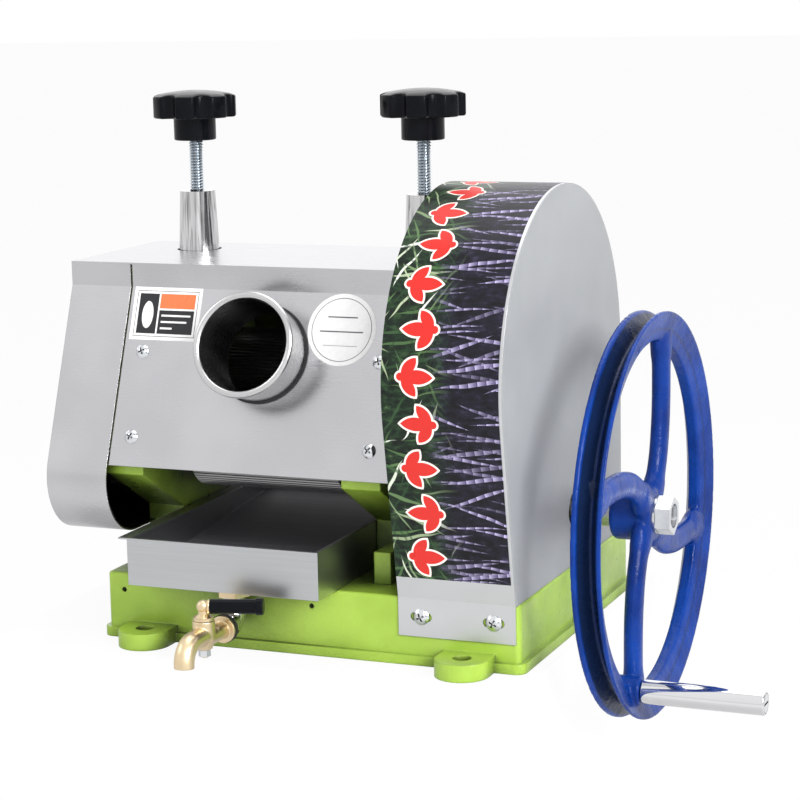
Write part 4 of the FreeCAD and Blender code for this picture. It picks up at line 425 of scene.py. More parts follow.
def steel(name, shade, roughness, grain, depth, scale=9.0, spread=0.06, smudge=0.04, edge=0.0, painted_shade=0.0,
          reach=0.14, span=(0.18, 0.52), painted_reflection=0.0, metallic=1.0):
    """Bare metal. A number for painted shade darkens its colour where walls within reach close it in, as
    they do deep in the mill.
    """
    tree, shader = finish(name, shade, metallic=metallic, roughness=roughness)
    lines = noise(tree, scale, grain, detail=4, rough=0.65)
    cloud = noise(tree, 14, detail=2)
    mixed = scaled(tree, cloud, 0.6, times(tree, lines, 0.4))
    vary(tree, shader, "Roughness", mixed, roughness - spread, roughness + spread)
    low = tuple(c * (1 - smudge) for c in shade)
    high = tuple(min(1.0, c * (1 + smudge)) for c in shade)
    colour = ramp(tree, cloud, (0.35, low), (0.65, high))
    # Painted reflection: upright dark and bright streaks multiplied into the colour, as on the polished
    # sleeves.
    if painted_reflection:
        upright = noise(tree, 2.2, (110, 110, 0.1), detail=2, rough=0.6)
        colour = mix(tree, painted_reflection, colour, ramp(tree, upright, *PAINTED_REFLECTIONS), "MULTIPLY")
    if painted_shade:
        colour = painted_hollow_shade(tree, colour, painted_shade, reach, (0.012, 0.012, 0.014), *span)
    tree.links.new(colour, shader.inputs["Base Color"])
    relief(tree, shader, (lines, depth), edge=edge)


# Most steels below get painted shade where they are closed in: inside the tube and covers, on the guard and
# rollers, and in screw recesses and threads.
steel("stainless_sheet", (0.60, 0.60, 0.62), 0.28, ALONG_X, 0.000003, edge=0.0008, painted_shade=0.8)
steel("guard_sheet", (0.70, 0.71, 0.725), 0.36, ALONG_X, 0.000004, edge=0.0004, painted_shade=0.9)
steel("guard_plate", (0.395, 0.407, 0.421), 0.55, ALONG_Z, 0.000003, painted_shade=0.9, metallic=0.42)
steel("polished_steel", (0.76, 0.76, 0.77), 0.13, ALONG_Z, 0.000004, spread=0.04, painted_reflection=0.8)
steel("tube_steel", (0.66, 0.66, 0.665), 0.27, AROUND_TUBE, 0.000004, spread=0.05, painted_shade=0.97)
steel("chrome", (0.80, 0.80, 0.815), 0.05, ALONG_X, 0.000002, spread=0.02, smudge=0.01)
steel("zinc_steel", (0.78, 0.80, 0.83), 0.22, NO_GRAIN, 0.00002, scale=160, spread=0.08, painted_shade=0.9,
      reach=0.003, span=(0.35, 0.80))
steel("thread_zinc", (0.70, 0.76, 0.82), 0.22, NO_GRAIN, 0.00001, scale=200, spread=0.06, painted_shade=0.85,
      reach=0.002, span=(0.50, 0.85))
steel("turned_steel", (0.50, 0.50, 0.51), 0.26, ROUND_X, 0.00002, scale=12)
steel("roller_steel", (0.44, 0.44, 0.44), 0.30, ALONG_X, 0.00001, painted_shade=0.35)
steel("brass", (0.84, 0.68, 0.44), 0.36, NO_GRAIN, 0.00022, scale=150, spread=0.10, smudge=0.10)
steel("bronze", (0.58, 0.39, 0.20), 0.30, ROUND_X, 0.00002, scale=12)
steel("gear_iron", (0.20, 0.195, 0.19), 0.38, NO_GRAIN, 0.00006, scale=120, spread=0.12)

# The tray's floor, which gets a painted dark reflection, lies below these heights and faces up by more than
# these tilts.
FLOOR_LEVELS, FLOOR_TILTS = (0.090, 0.086), (0.5, 0.8)


def tray_sheet():
    """Bright sheet whose sloping floor carries a painted dark reflection of the mill's inside, with painted
    shade in its hollows.
    """
    tree, shader = finish("tray_steel", (0.56, 0.57, 0.585), metallic=1.0, roughness=0.15)
    lines = noise(tree, 9, ALONG_X, detail=4, rough=0.65)
    level = separate(tree, object_place(tree))[2]
    tilt = separate(tree, add(tree, "ShaderNodeNewGeometry", out="Normal"))[2]
    floor = times(tree, between(tree, tilt, *FLOOR_TILTS), between(tree, level, *FLOOR_LEVELS))
    bright = ramp(tree, lines, (0.35, (0.54, 0.55, 0.565)), (0.65, (0.58, 0.59, 0.605)))
    dull = ramp(tree, lines, (0.35, (0.17, 0.165, 0.185)), (0.65, (0.26, 0.25, 0.28)))
    # Painted reflection: the floor takes a dark colour in place of the mill's dark inside mirrored in it;
    # painted shade darkens where the tray is closed in.
    colour = painted_hollow_shade(tree, mix(tree, floor, bright, dull), 0.30, 0.10, (0.015, 0.015, 0.017))
    tree.links.new(colour, shader.inputs["Base Color"])
    tree.links.new(scaled(tree, floor, 0.20, 0.34), shader.inputs["Roughness"])
    tree.links.new(scaled(tree, floor, -0.6, 1.0), shader.inputs["Metallic"])
    relief(tree, shader, (lines, 0.000004), (noise(tree, 9, detail=1), 0.0002), edge=0.0006)


tray_sheet()
print("steels, brass and iron")

# %% [markdown]
# ### Plastic and rubber
# Moulded knobs have a soft gloss with a very fine bloom, and hands polish their crowns: the clear coat
# there comes from how far the surface faces up. The washer and the seals are dull rubber.


# %% Mould the plastics
def plastic(name, shade, roughness, depth, gloss=0.5):
    tree, shader = finish(name, shade, roughness=roughness, Specular_IOR_Level=gloss)
    vary(tree, shader, "Roughness", noise(tree, 60, detail=3), roughness * 0.8, roughness * 1.25)
    low, high = (tuple(c * share for c in shade) for share in (0.8, 1.25))
    colour = ramp(tree, noise(tree, 35, detail=3), (0.35, low), (0.65, high))
    tree.links.new(colour, shader.inputs["Base Color"])
    relief(tree, shader, (noise(tree, 500, detail=2), depth))
    return tree, shader


tree, shader = plastic("black_plastic", (0.0035, 0.004, 0.0055), 0.22, 0.00002, gloss=0.10)
crown = separate(tree, add(tree, "ShaderNodeNewGeometry", out="Normal"))[2]
polish = times(tree, between(tree, crown, 0.84, 1.0), 0.22)
tree.links.new(polish, shader.inputs["Coat Weight"])
shader.inputs["Coat Roughness"].default_value = 0.2
plastic("rubber", (0.016, 0.016, 0.017), 0.62, 0.00008)
print("finishes so far", len(bpy.data.materials))

# %% [markdown]
# ## Printed film and labels
# A print is arithmetic on two coordinates. These helpers give the basic marks: a turned pair of
# coordinates, a leaf made of two arcs, a box, and rows of tapering strokes with a random share missing.
# All of them work in millimetres.


# %% Marks for prints
def turned_by(tree, x, y, degrees, at=(0, 0)):
    """Coordinates along and across a direction, from a point."""
    cos, sin = math.cos(math.radians(degrees)), math.sin(math.radians(degrees))
    x, y = minus(tree, x, at[0]), minus(tree, y, at[1])
    along = scaled(tree, x, cos, times(tree, y, sin))
    across = scaled(tree, y, cos, times(tree, x, -sin))
    return along, across


def leaf(tree, x, y, at, degrees, length, half_width):
    """How far a point is outside a pointed leaf that starts at a place and points in a direction."""
    along, across = turned_by(tree, x, y, degrees, at)
    radius = (length ** 2 / 4 + half_width ** 2) / (2 * half_width)
    across = plus(tree, maths(tree, "ABSOLUTE", across), radius - half_width)
    return minus(tree, distance(tree, minus(tree, along, length / 2), across), radius)


def panel(tree, x, y, left, right, low, high):
    """1 inside an upright box, 0 outside."""
    return times(tree, inside(tree, x, left, right), inside(tree, y, low, high))


def chance(tree, *seeds):
    """A random number from 0 to 1 for each set of up to three whole numbers."""
    place = add(tree, "ShaderNodeCombineXYZ", dict(enumerate(seeds)))
    return add(tree, "ShaderNodeTexWhiteNoise", {"Vector": place}, noise_dimensions="3D")


def strokes(tree, x, y, degrees, gap, length, thick, share, seed, bend=0.0):
    """Tapering strokes in rows. Gives the mask, a random number per stroke, and the place along it."""
    along, across = turned_by(tree, x, y, degrees)
    if bend:
        place = add(tree, "ShaderNodeCombineXYZ", {0: x, 1: y, 2: float(seed)})
        wander = add(tree, "ShaderNodeTexNoise", {"Vector": place, "Scale": 0.035, "Detail": 1.0})
        across = scaled(tree, minus(tree, wander, 0.5), bend, across)
    rows = over(tree, across, gap)
    row = maths(tree, "FLOOR", rows)
    offset = times(tree, chance(tree, row, float(seed), 3.0), 5.0)
    steps = plus(tree, over(tree, along, length), offset)
    step = maths(tree, "FLOOR", steps)
    ratio = minus(tree, steps, step)
    luck = chance(tree, row, step, float(seed))
    shift = scaled(tree, chance(tree, row, step, seed + 0.5), 0.4, 0.3)
    aside = maths(tree, "ABSOLUTE", minus(tree, minus(tree, rows, row), shift))
    aside = times(tree, aside, gap)
    width = times(tree, maths(tree, "SINE", times(tree, ratio, math.pi)), thick)
    mask = between(tree, minus(tree, aside, width), 0.0, -0.35)
    mask = times(tree, mask, maths(tree, "LESS_THAN", luck, share))
    return mask, over(tree, luck, share), ratio


print("marks ready")

# %% [markdown]
# ### The film's pattern
# The film shows a dark cane field turned on its side: leaves along the left edge, jointed violet stalks
# that reach in from the right, and a column of red sprouts with pale outlines. It is a plain pattern of
# our own, with no words.


# %% Print the film
SPROUT_PITCH, SPROUT_COLUMN, SPROUT_FOOT = 37.0, 29.0, (-12.0, 0.0)
# The length and half width of a sprout's leaves, and how far its two outer ones lean.
MIDDLE_LEAF, OUTER_LEAF, LEAN = (26, 5.6), (19, 4.6), 52
RED, CREAM = (0.62, 0.028, 0.022), (0.90, 0.80, 0.74)
BLOOM = ((0.0, 0.02), (0.06, 0.04), (0.10, 0.95), (0.35, 0.62), (0.7, 0.30), (1.0, 0.16))
VIOLET, PALE_VIOLET = (0.045, 0.030, 0.11), (0.58, 0.52, 0.78)
# Each kind of stroke: direction, gap between rows, length, half thickness, share drawn, seed, and bend.
LEAVES = ((8, 5, 60, 1.5, 0.42, 11, 9), (62, 6, 42, 1.3, 0.40, 12, 14), (118, 5, 38, 1.1, 0.42, 13, 12),
          (158, 7, 50, 1.6, 0.34, 14, 10))
STALKS = ((-7, 9.5, 92, 1.6, 0.40, 21, 3), (9, 11, 80, 1.9, 0.38, 22, 3), (21, 15, 70, 1.7, 0.26, 23, 3),
          (-18, 17, 66, 1.5, 0.22, 24, 3), (3, 6.5, 60, 1.0, 0.36, 25, 3))
JOINT_GAP = 7.5


def film_ground(tree, x, y):
    """Dark greens on the left, dark dusk on the right."""
    place = add(tree, "ShaderNodeCombineXYZ", {0: x, 1: times(tree, y, 1.7)})
    murk = add(tree, "ShaderNodeTexNoise", {"Vector": place, "Scale": 0.09, "Detail": 5.0,
                                            "Roughness": 0.62})
    green = ramp(tree, murk, (0.38, (0.004, 0.006, 0.005)), (0.53, (0.009, 0.022, 0.011)),
                 (0.65, (0.030, 0.062, 0.024)), (0.76, (0.13, 0.20, 0.10)))
    dusk = ramp(tree, murk, (0.40, (0.004, 0.004, 0.006)), (0.58, (0.012, 0.011, 0.022)),
                (0.75, (0.05, 0.042, 0.08)))
    return mix(tree, between(tree, x, 34.0, 58.0), green, dusk)


def film_leaves(tree, x, y, colour):
    """Blades that thin out towards the right."""
    left = between(tree, x, 62.0, 22.0)
    for kind in LEAVES:
        mask, luck = strokes(tree, x, y, *kind)[:2]
        shade = ramp(tree, luck, (0.0, (0.01, 0.03, 0.013)), (0.45, (0.030, 0.075, 0.03)),
                     (0.72, (0.10, 0.19, 0.07)), (0.88, (0.42, 0.50, 0.32)), (1.0, (0.86, 0.89, 0.82)))
        edge = scaled(tree, luck, 0.5, 0.5)
        colour = mix(tree, times(tree, times(tree, mask, left), edge), colour, shade)
    return colour


def film_stalks(tree, x, y, colour):
    """Jointed canes: a dark ring at each joint, pale bloom after it, violet between."""
    fade = between(tree, x, 34.0, 60.0)
    for kind in STALKS:
        mask, luck, ratio = strokes(tree, x, y, *kind)
        length = kind[2]
        joints = maths(tree, "FRACT", plus(tree, times(tree, ratio, length / JOINT_GAP), luck))
        violet = mix(tree, ramp(tree, joints, *BLOOM), VIOLET, PALE_VIOLET)
        strength = scaled(tree, luck, 0.75, 0.22)
        lit = times(tree, times(tree, mask, fade), strength)
        colour = mix(tree, lit, colour, violet)
    return colour


def film_sprouts(tree, x, y, colour):
    """A column of three-leaved sprouts, every other one turned over."""
    cells = over(tree, y, SPROUT_PITCH)
    cell = maths(tree, "FLOOR", cells)
    local = times(tree, minus(tree, minus(tree, cells, cell), 0.5), SPROUT_PITCH)
    flip = minus(tree, 1.0, times(tree, maths(tree, "FLOORED_MODULO", cell, 2.0), 2.0))
    side = times(tree, minus(tree, x, SPROUT_COLUMN), flip)
    shape = leaf(tree, side, local, SPROUT_FOOT, 0, *MIDDLE_LEAF)
    for degrees in (LEAN, -LEAN):
        outer = leaf(tree, side, local, SPROUT_FOOT, degrees, *OUTER_LEAF)
        shape = maths(tree, "MINIMUM", shape, outer)
    bulb = minus(tree, distance(tree, plus(tree, side, 13.0), local), 3.2)
    shape = maths(tree, "MINIMUM", shape, bulb)
    colour = mix(tree, between(tree, shape, 1.75, 1.45), colour, CREAM)
    return mix(tree, between(tree, shape, 0.15, -0.15), colour, RED)


def printed_film():
    tree, shader = finish("printed_film", (0.02, 0.03, 0.02), roughness=0.30, Specular_IOR_Level=0.28)
    x, y = separate(tree, add(tree, "ShaderNodeUVMap", uv_map="metres"))[:2]
    x, y = times(tree, x, 1000.0), times(tree, y, 1000.0)
    colour = film_ground(tree, x, y)
    colour = film_leaves(tree, x, y, colour)
    colour = film_stalks(tree, x, y, colour)
    colour = film_sprouts(tree, x, y, colour)
    tree.links.new(colour, shader.inputs["Base Color"])
    vary(tree, shader, "Roughness", noise(tree, 18, detail=3), 0.24, 0.36)
    relief(tree, shader, (noise(tree, 260, detail=2), 0.00001), (noise(tree, 12, detail=2), 0.0002))


printed_film()
print("film pattern nodes", len(finishes["printed_film"].node_tree.nodes))

# %% [markdown]
# ### Label stock
# Both labels lie on the sloped front. Their coordinates run across and down the slope, from the corners of
# the solid that carries them. The notice has a frame, a dark panel with an oval, an orange bar and a dark
# panel with pale lines; the round one has a ring and three lines. Neither has any words.


# %% Print the labels
def slope_coordinates(tree, node):
    """Millimetres from a sloped label's left edge and down from its upper edge, and its size."""
    low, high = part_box(node)
    drop, back = high.z - low.z, high.y - low.y
    length = math.hypot(drop, back)
    x, y, z = separate(tree, object_place(tree))
    across = times(tree, minus(tree, x, low.x), 1000.0)
    fall = times(tree, minus(tree, high.z, z), 1000 * drop / length)
    down = scaled(tree, minus(tree, high.y, y), 1000 * back / length, fall)
    return across, down, (high.x - low.x) * 1000, length * 1000


def label_stock(name, draw):
    """White film with a print that a function draws on it."""
    tree, shader = finish(name, (0.90, 0.90, 0.90), roughness=0.34)
    fibre = ramp(tree, noise(tree, 300, detail=2), (0.4, (0.90, 0.90, 0.90)), (0.6, (0.93, 0.93, 0.925)))
    tree.links.new(draw(tree, fibre), shader.inputs["Base Color"])
    vary(tree, shader, "Roughness", noise(tree, 40, detail=2), 0.26, 0.38)
    relief(tree, shader, (noise(tree, 400, detail=2), 0.00001))


INK, ORANGE, PAPER = (0.012, 0.013, 0.016), (0.78, 0.19, 0.065), (0.90, 0.90, 0.89)
FRAME_OUT, FRAME_IN, MARGIN = 3.0, 3.5, 5.5
DARK_RIGHT, OVAL_PLACE, OVAL_WIDE, OVAL_TALL = 23.5, 14.5, 5.2, 11.5
BLOCK_LEFT, BAR_FOOT, BLOCK_TOP = 25.0, 18.0, 19.5
LINE_LEFT, LINE_TOP, LINE_FOOT, LINE_GAP, LINES_SHORT = 27.5, 23.2, 24.8, 5.4, (3.0, 6.0, 19.0)
RING_IN, RING_OUT = 4.0, 3.5
# The round label's lines: how far down each one is, half its length, and its thickness.
SEAL_LINES = ((19.0, 13.0, 1.1), (31.0, 19.0, 1.1), (43.0, 15.0, 0.35))


def draw_notice(tree, colour):
    x, y, wide, tall = slope_coordinates(tree, "notice_label")
    outer = panel(tree, x, y, FRAME_OUT, wide - FRAME_OUT, FRAME_OUT, tall - FRAME_OUT)
    inner = panel(tree, x, y, FRAME_IN, wide - FRAME_IN, FRAME_IN, tall - FRAME_IN)
    colour = mix(tree, minus(tree, outer, inner), colour, INK)
    colour = mix(tree, panel(tree, x, y, MARGIN, DARK_RIGHT, MARGIN, tall - MARGIN), colour, INK)
    oval = distance(tree, over(tree, minus(tree, x, OVAL_PLACE), OVAL_WIDE),
                    over(tree, minus(tree, y, tall / 2 + 1), OVAL_TALL))
    colour = mix(tree, maths(tree, "LESS_THAN", oval, 1.0), colour, PAPER)
    side = wide - MARGIN
    colour = mix(tree, panel(tree, x, y, BLOCK_LEFT, side, MARGIN, BAR_FOOT), colour, ORANGE)
    colour = mix(tree, panel(tree, x, y, BLOCK_LEFT, side, BLOCK_TOP, tall - MARGIN), colour, INK)
    for i, short in enumerate(LINES_SHORT):
        down = LINE_GAP * i
        line = panel(tree, x, y, LINE_LEFT, side - short, LINE_TOP + down, LINE_FOOT + down)
        colour = mix(tree, line, colour, PAPER)
    return colour


def draw_seal(tree, colour):
    x, y, wide, tall = slope_coordinates(tree, "round_label")
    radius = distance(tree, minus(tree, x, wide / 2), minus(tree, y, tall / 2))
    ring = inside(tree, radius, wide / 2 - RING_IN, wide / 2 - RING_OUT)
    colour = mix(tree, ring, colour, INK)
    for top, half, thick in SEAL_LINES:
        line = panel(tree, x, y, wide / 2 - half, wide / 2 + half, top, top + thick)
        colour = mix(tree, line, colour, (0.10, 0.10, 0.11))
    return colour


label_stock("notice_print", draw_notice)
label_stock("seal_print", draw_seal)
print("labels drawn")

# %% [markdown]
# ### Which finish each solid takes
# The record's slots group the solids by what they are made of. A slot takes the finish of its own name,
# apart from four, and three solids have a finish of their own.

# %% Dress the solids
SLOT_FINISH = {"black_seal": "rubber", "printed_film": "rubber", "notice_label": "notice_print",
               "white_label": "seal_print"}
OWN_FINISH = {"guard_band": "guard_sheet", "guard_side_plate": "guard_plate", "feed_tube": "tube_steel"}
slots = {part["node"]: part["material_slot"] for part in frame["record"]["subparts"]}
for name, solid in frame["nodes"].items():
    slot = slots[name]
    chosen = OWN_FINISH.get(name, SLOT_FINISH.get(slot, slot))
    solid.data.materials.clear()
    solid.data.materials.append(finishes[chosen])
print("solids dressed", len(slots))

# %% [markdown]
# ## Making pieces
# Most shapes here are rows of rings: a ring is a list of points, neighbouring rings are joined by faces,
# and the two ends are closed. A lathe makes its rings from a section, and a sweep from a route.


# %% Mesh helpers
def shell(made, rings, loop=False):
    """Faces between rings of points. The ends are closed, or joined to each other when loop is true."""
    rows = [[made.verts.new(point) for point in ring] for ring in rings]
    pairs = list(zip(rows, rows[1:])) + ([(rows[-1], rows[0])] if loop else [])
    for low, high in pairs:
        for i in range(len(low)):
            j = (i + 1) % len(low)
            made.faces.new((low[i], low[j], high[j], high[i]))
    if not loop:
        made.faces.new(rows[0][::-1])
        made.faces.new(rows[-1])


def full_turn(count):
    """Evenly spaced angles round a circle."""
    return [math.tau * i / count for i in range(count)]


def lathe_x(made, section, centre, count):
    """Turns a closed section of (x, radius) points about the X direction through a centre."""
    back, rise = Vector((0, 1, 0)), Vector((0, 0, 1))
    shell(made, [[Vector((x, centre.y, centre.z)) + back * (r * math.cos(a)) + rise * (r * math.sin(a))
                  for a in full_turn(count)] for x, r in section], loop=True)


def to_piece(name, mesh, body, slot, *nodes, chosen=None, sharp=35):
    """Links a mesh as a finished piece that rides on a body and stands for solids."""
    made = placed(name, mesh)
    mesh.materials.clear()
    mesh.materials.append(finishes[chosen or slot])
    mesh.polygons.foreach_set("use_smooth", [True] * len(mesh.polygons))
    mesh.set_sharp_from_angle(angle=math.radians(sharp))
    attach(made, body)
    if nodes:
        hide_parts(*nodes)
    print(name, len(mesh.polygons), "faces")


def from_bmesh(made, name):
    bmesh.ops.recalc_face_normals(made, faces=made.faces)
    mesh = bpy.data.meshes.new(name)
    made.to_mesh(mesh)
    made.free()
    return mesh


def plain_mesh(holder):
    """The mesh that an object's modifiers give. The object itself is removed."""
    ready = holder.evaluated_get(bpy.context.evaluated_depsgraph_get())
    mesh = bpy.data.meshes.new_from_object(ready)
    bpy.data.objects.remove(holder)
    return mesh


def melted(mesh, voxel, rounds):
    """The mesh made again of small cubes and smoothed, so that its shapes join and its edges round."""
    holder = placed("holder", mesh)
    remesh = holder.modifiers.new("remesh", "REMESH")
    remesh.mode = "VOXEL"
    remesh.voxel_size = voxel
    smooth = holder.modifiers.new("smooth", "SMOOTH")
    smooth.factor = 0.5
    smooth.iterations = rounds
    return plain_mesh(holder)


# %% [markdown]
# ### The printed film on the guard
# The film starts a little above the base, runs up the straight front of the guard, and follows the arch
# over the crown to the shoulder at the back. Its foot is the lowest corner of the solid film. Its map holds
# real metres across and along that route, so the pattern neither stretches nor bends.

# %% Lay the film
film_low, film_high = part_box("guard_film")
ARCH_RADIUS = 151.6 * MM
arch = Vector((0, film_high.y - ARCH_RADIUS, film_high.z - ARCH_RADIUS))
sheet = [point.co for point in frame["nodes"]["guard_film"].data.vertices]
FOOT = min(sheet, key=lambda point: (round(point.z, 5), point.y)) * Vector((0, 1, 1))
FILM = 0.2 * MM
STRAIGHT_STEPS, ARCH_STEPS = 12, 72


def film_route(inset):
    """Points from the film's foot over the arch, at a depth below its face."""
    radius = ARCH_RADIUS - inset
    foot = FOOT + Vector((0, inset, 0))
    reach = foot - arch
    angle = math.atan2(reach.z, reach.y) - math.acos(radius / reach.length)
    tangent = arch + Vector((0, math.cos(angle), math.sin(angle))) * radius
    straight = [foot.lerp(tangent, i / STRAIGHT_STEPS) for i in range(STRAIGHT_STEPS)]
    sweep = [angle % math.tau * (1 - i / ARCH_STEPS) for i in range(ARCH_STEPS + 1)]
    return straight + [arch + Vector((0, math.cos(a), math.sin(a))) * radius for a in sweep]


def film_mesh():
    """A thin strip with four points at each step of the route, and its map in metres."""
    made = bmesh.new()
    left, edge = film_low.x, film_high.x
    outer, inner = film_route(0), film_route(FILM)
    rings = []
    for face, back in zip(outer, inner):
        corners = ((face, left), (face, edge), (back, edge), (back, left))
        rings.append([Vector((x, p.y, p.z)) for p, x in corners])
    shell(made, rings)
    mesh = from_bmesh(made, "guard_print")
    along = [0.0]
    for one, two in zip(outer, outer[1:]):
        along.append(along[-1] + (two - one).length)
    layer = mesh.uv_layers.new(name="metres")
    for loop in mesh.loops:
        place = mesh.vertices[loop.vertex_index].co
        layer.data[loop.index].uv = (place.x - left, along[loop.vertex_index // 4])
    print("film is", round(along[-1] * 1000), "mm long")
    return mesh


to_piece("guard_print", film_mesh(), "machine", "printed_film", "guard_film")

# %% [markdown]
# ### The handwheel
# The rim is turned from its grooved section, four arms are swept along a bowed route, and a hub and a
# handle boss are added. A remesh at just over a millimetre melts them into one casting, and a few rounds
# of smoothing leave the soft corners and the fillets of a sand mould.

# %% Cast the handwheel
wheel_low, wheel_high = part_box("handwheel")
wheel_axis = joint_place("crank_turn")
handle_axis = joint_place("handle_spin")
WHEEL_RADIUS = (wheel_high.z - wheel_low.z) / 2
RIM_WIDTH, RIM_BORE, BORE_WIDTH = 25.2 * MM, 143 * MM, 9 * MM
GROOVE_DEPTH, GROOVE_FLOOR, FLANGE = 15 * MM, 3.5 * MM, 4 * MM
HUB_RADIUS, HUB_LENGTH, SHAFT_RADIUS, HUB_EDGE = 22 * MM, 35 * MM, 10 * MM, 2.5 * MM
BOSS_BORE, BOSS_RADIUS, CAST_VOXEL = 6 * MM, 12 * MM, 1.25 * MM
RIM_SIDES, HUB_SIDES, BOSS_SIDES, ARM_SIDES = 240, 96, 48, 24
ARMS, ARM_WIDTH, ARM_THICKNESS = 4, 22 * MM, 15 * MM
SWELL_REACH, HUB_SWELL, RIM_SWELL, MOST_DEPTH = 9 * MM, 0.42, 0.45, 1.12
# The first arm's middle line, along it and aside from it, in shares of the rim's bore.
ARM_ROUTE = ((0.03, 0.03), (0.09, 0.09), (0.17, 0.155), (0.31, 0.225), (0.45, 0.262), (0.60, 0.283),
             (0.80, 0.288), (1.02, 0.284))
rim_right = wheel_high.x - 1.2 * MM
rim_middle = rim_right - RIM_WIDTH / 2


def rim_section():
    """Half of the section, from the bore to the groove's floor, then mirrored."""
    half = [(BORE_WIDTH / 2, RIM_BORE), (RIM_WIDTH / 2, WHEEL_RADIUS),
            (RIM_WIDTH / 2 - FLANGE, WHEEL_RADIUS), (GROOVE_FLOOR / 2, WHEEL_RADIUS - GROOVE_DEPTH)]
    right_half = [(rim_middle + x, r) for x, r in half]
    left_half = [(rim_middle - x, r) for x, r in reversed(half)]
    return right_half + left_half


def curve_through(points, steps):
    """Points along a smooth curve that passes through the given ones."""
    ends = [points[0] * 2 - points[1]] + points + [points[-1] * 2 - points[-2]]
    smooth = []
    for a, b, c, d in zip(ends, ends[1:], ends[2:], ends[3:]):
        for i in range(steps):
            t = i / steps
            smooth.append((b * 2 + (c - a) * t + (a * 2 - b * 5 + c * 4 - d) * t ** 2
                           + (b * 3 - a - c * 3 + d) * t ** 3) / 2)
    return smooth + [points[-1]]


def arm_rings(turn):
    """An oval swept along the arm's route; it swells where it meets the hub and the rim."""
    spin = Matrix.Rotation(turn, 3, "X")
    route = [Vector((rim_middle, share * RIM_BORE, along * RIM_BORE)) for along, share in ARM_ROUTE]
    route = curve_through(route, 8)
    rings = []
    for i, point in enumerate(route):
        ahead = (route[min(i + 1, len(route) - 1)] - route[max(i - 1, 0)]).normalized()
        side = ahead.cross(Vector((1, 0, 0))).normalized()
        out = Vector((0, point.y, point.z)).length
        from_hub = max(0.0, out - HUB_RADIUS) / SWELL_REACH
        from_rim = max(0.0, RIM_BORE - out) / SWELL_REACH
        swell = 1 + HUB_SWELL * math.exp(-from_hub ** 2) + RIM_SWELL * math.exp(-from_rim ** 2)
        ring = []
        for a in full_turn(ARM_SIDES):
            spread = side * (ARM_WIDTH / 2 * swell * math.cos(a))
            depth = Vector((ARM_THICKNESS / 2 * min(swell, MOST_DEPTH) * math.sin(a), 0, 0))
            ring.append(spin @ (point + spread + depth) + wheel_axis)
        rings.append(ring)
    return rings


def wheel_mesh():
    made = bmesh.new()
    lathe_x(made, rim_section(), wheel_axis, RIM_SIDES)
    left = wheel_low.x
    hub = [(left, SHAFT_RADIUS), (left, HUB_RADIUS - HUB_EDGE), (left + HUB_EDGE, HUB_RADIUS),
           (left + HUB_LENGTH - HUB_EDGE, HUB_RADIUS), (left + HUB_LENGTH, HUB_RADIUS - HUB_EDGE),
           (left + HUB_LENGTH, SHAFT_RADIUS)]
    lathe_x(made, hub, wheel_axis, HUB_SIDES)
    for turn in full_turn(ARMS):
        shell(made, arm_rings(turn))
    rim_left = rim_right - RIM_WIDTH
    boss = [(rim_left, BOSS_BORE), (rim_left, BOSS_RADIUS), (wheel_high.x, BOSS_RADIUS),
            (wheel_high.x, BOSS_BORE)]
    lathe_x(made, boss, handle_axis, BOSS_SIDES)
    return melted(from_bmesh(made, "handwheel_cast"), CAST_VOXEL, 6)


to_piece("handwheel_cast", wheel_mesh(), "crank", "blue_enamel", "handwheel", sharp=180)

# %% [markdown]
# ### Star knobs
# Seven scallops are cut into a round head, and every corner is eased so that it catches a thin line of
# light. The outline is one formula: the distance to the rim or to the nearest scallop, whichever is less.

# %% Mould the star knobs
KNOB_RADIUS, KNOB_HUB, KNOB_LOBES = 36.25 * MM, 18.25 * MM, 7
HUB_HEIGHT, LOBE_HEIGHT, DOME, SCALLOP = 19.5 * MM, 19 * MM, 4.5 * MM, 9 * MM
KNOB_STEPS, KNOB_BORE, LOBE_BLEND = 28, 6.3 * MM, 1.6 * MM


def knob_outline(angle):
    """Radius of the head at an angle, rounded where a scallop meets the rim."""
    far = KNOB_RADIUS + SCALLOP * 0.35
    step = math.tau / KNOB_LOBES
    off = (angle + step / 2) % step - step / 2
    beside = far * abs(math.sin(off))
    if beside >= SCALLOP:
        return KNOB_RADIUS
    cut = far * math.cos(off) - math.sqrt(SCALLOP ** 2 - beside ** 2)
    blend = max(0.0, min(1.0, 0.5 + 0.5 * (KNOB_RADIUS - cut) / LOBE_BLEND))
    return cut * blend + KNOB_RADIUS * (1 - blend) - LOBE_BLEND * blend * (1 - blend)


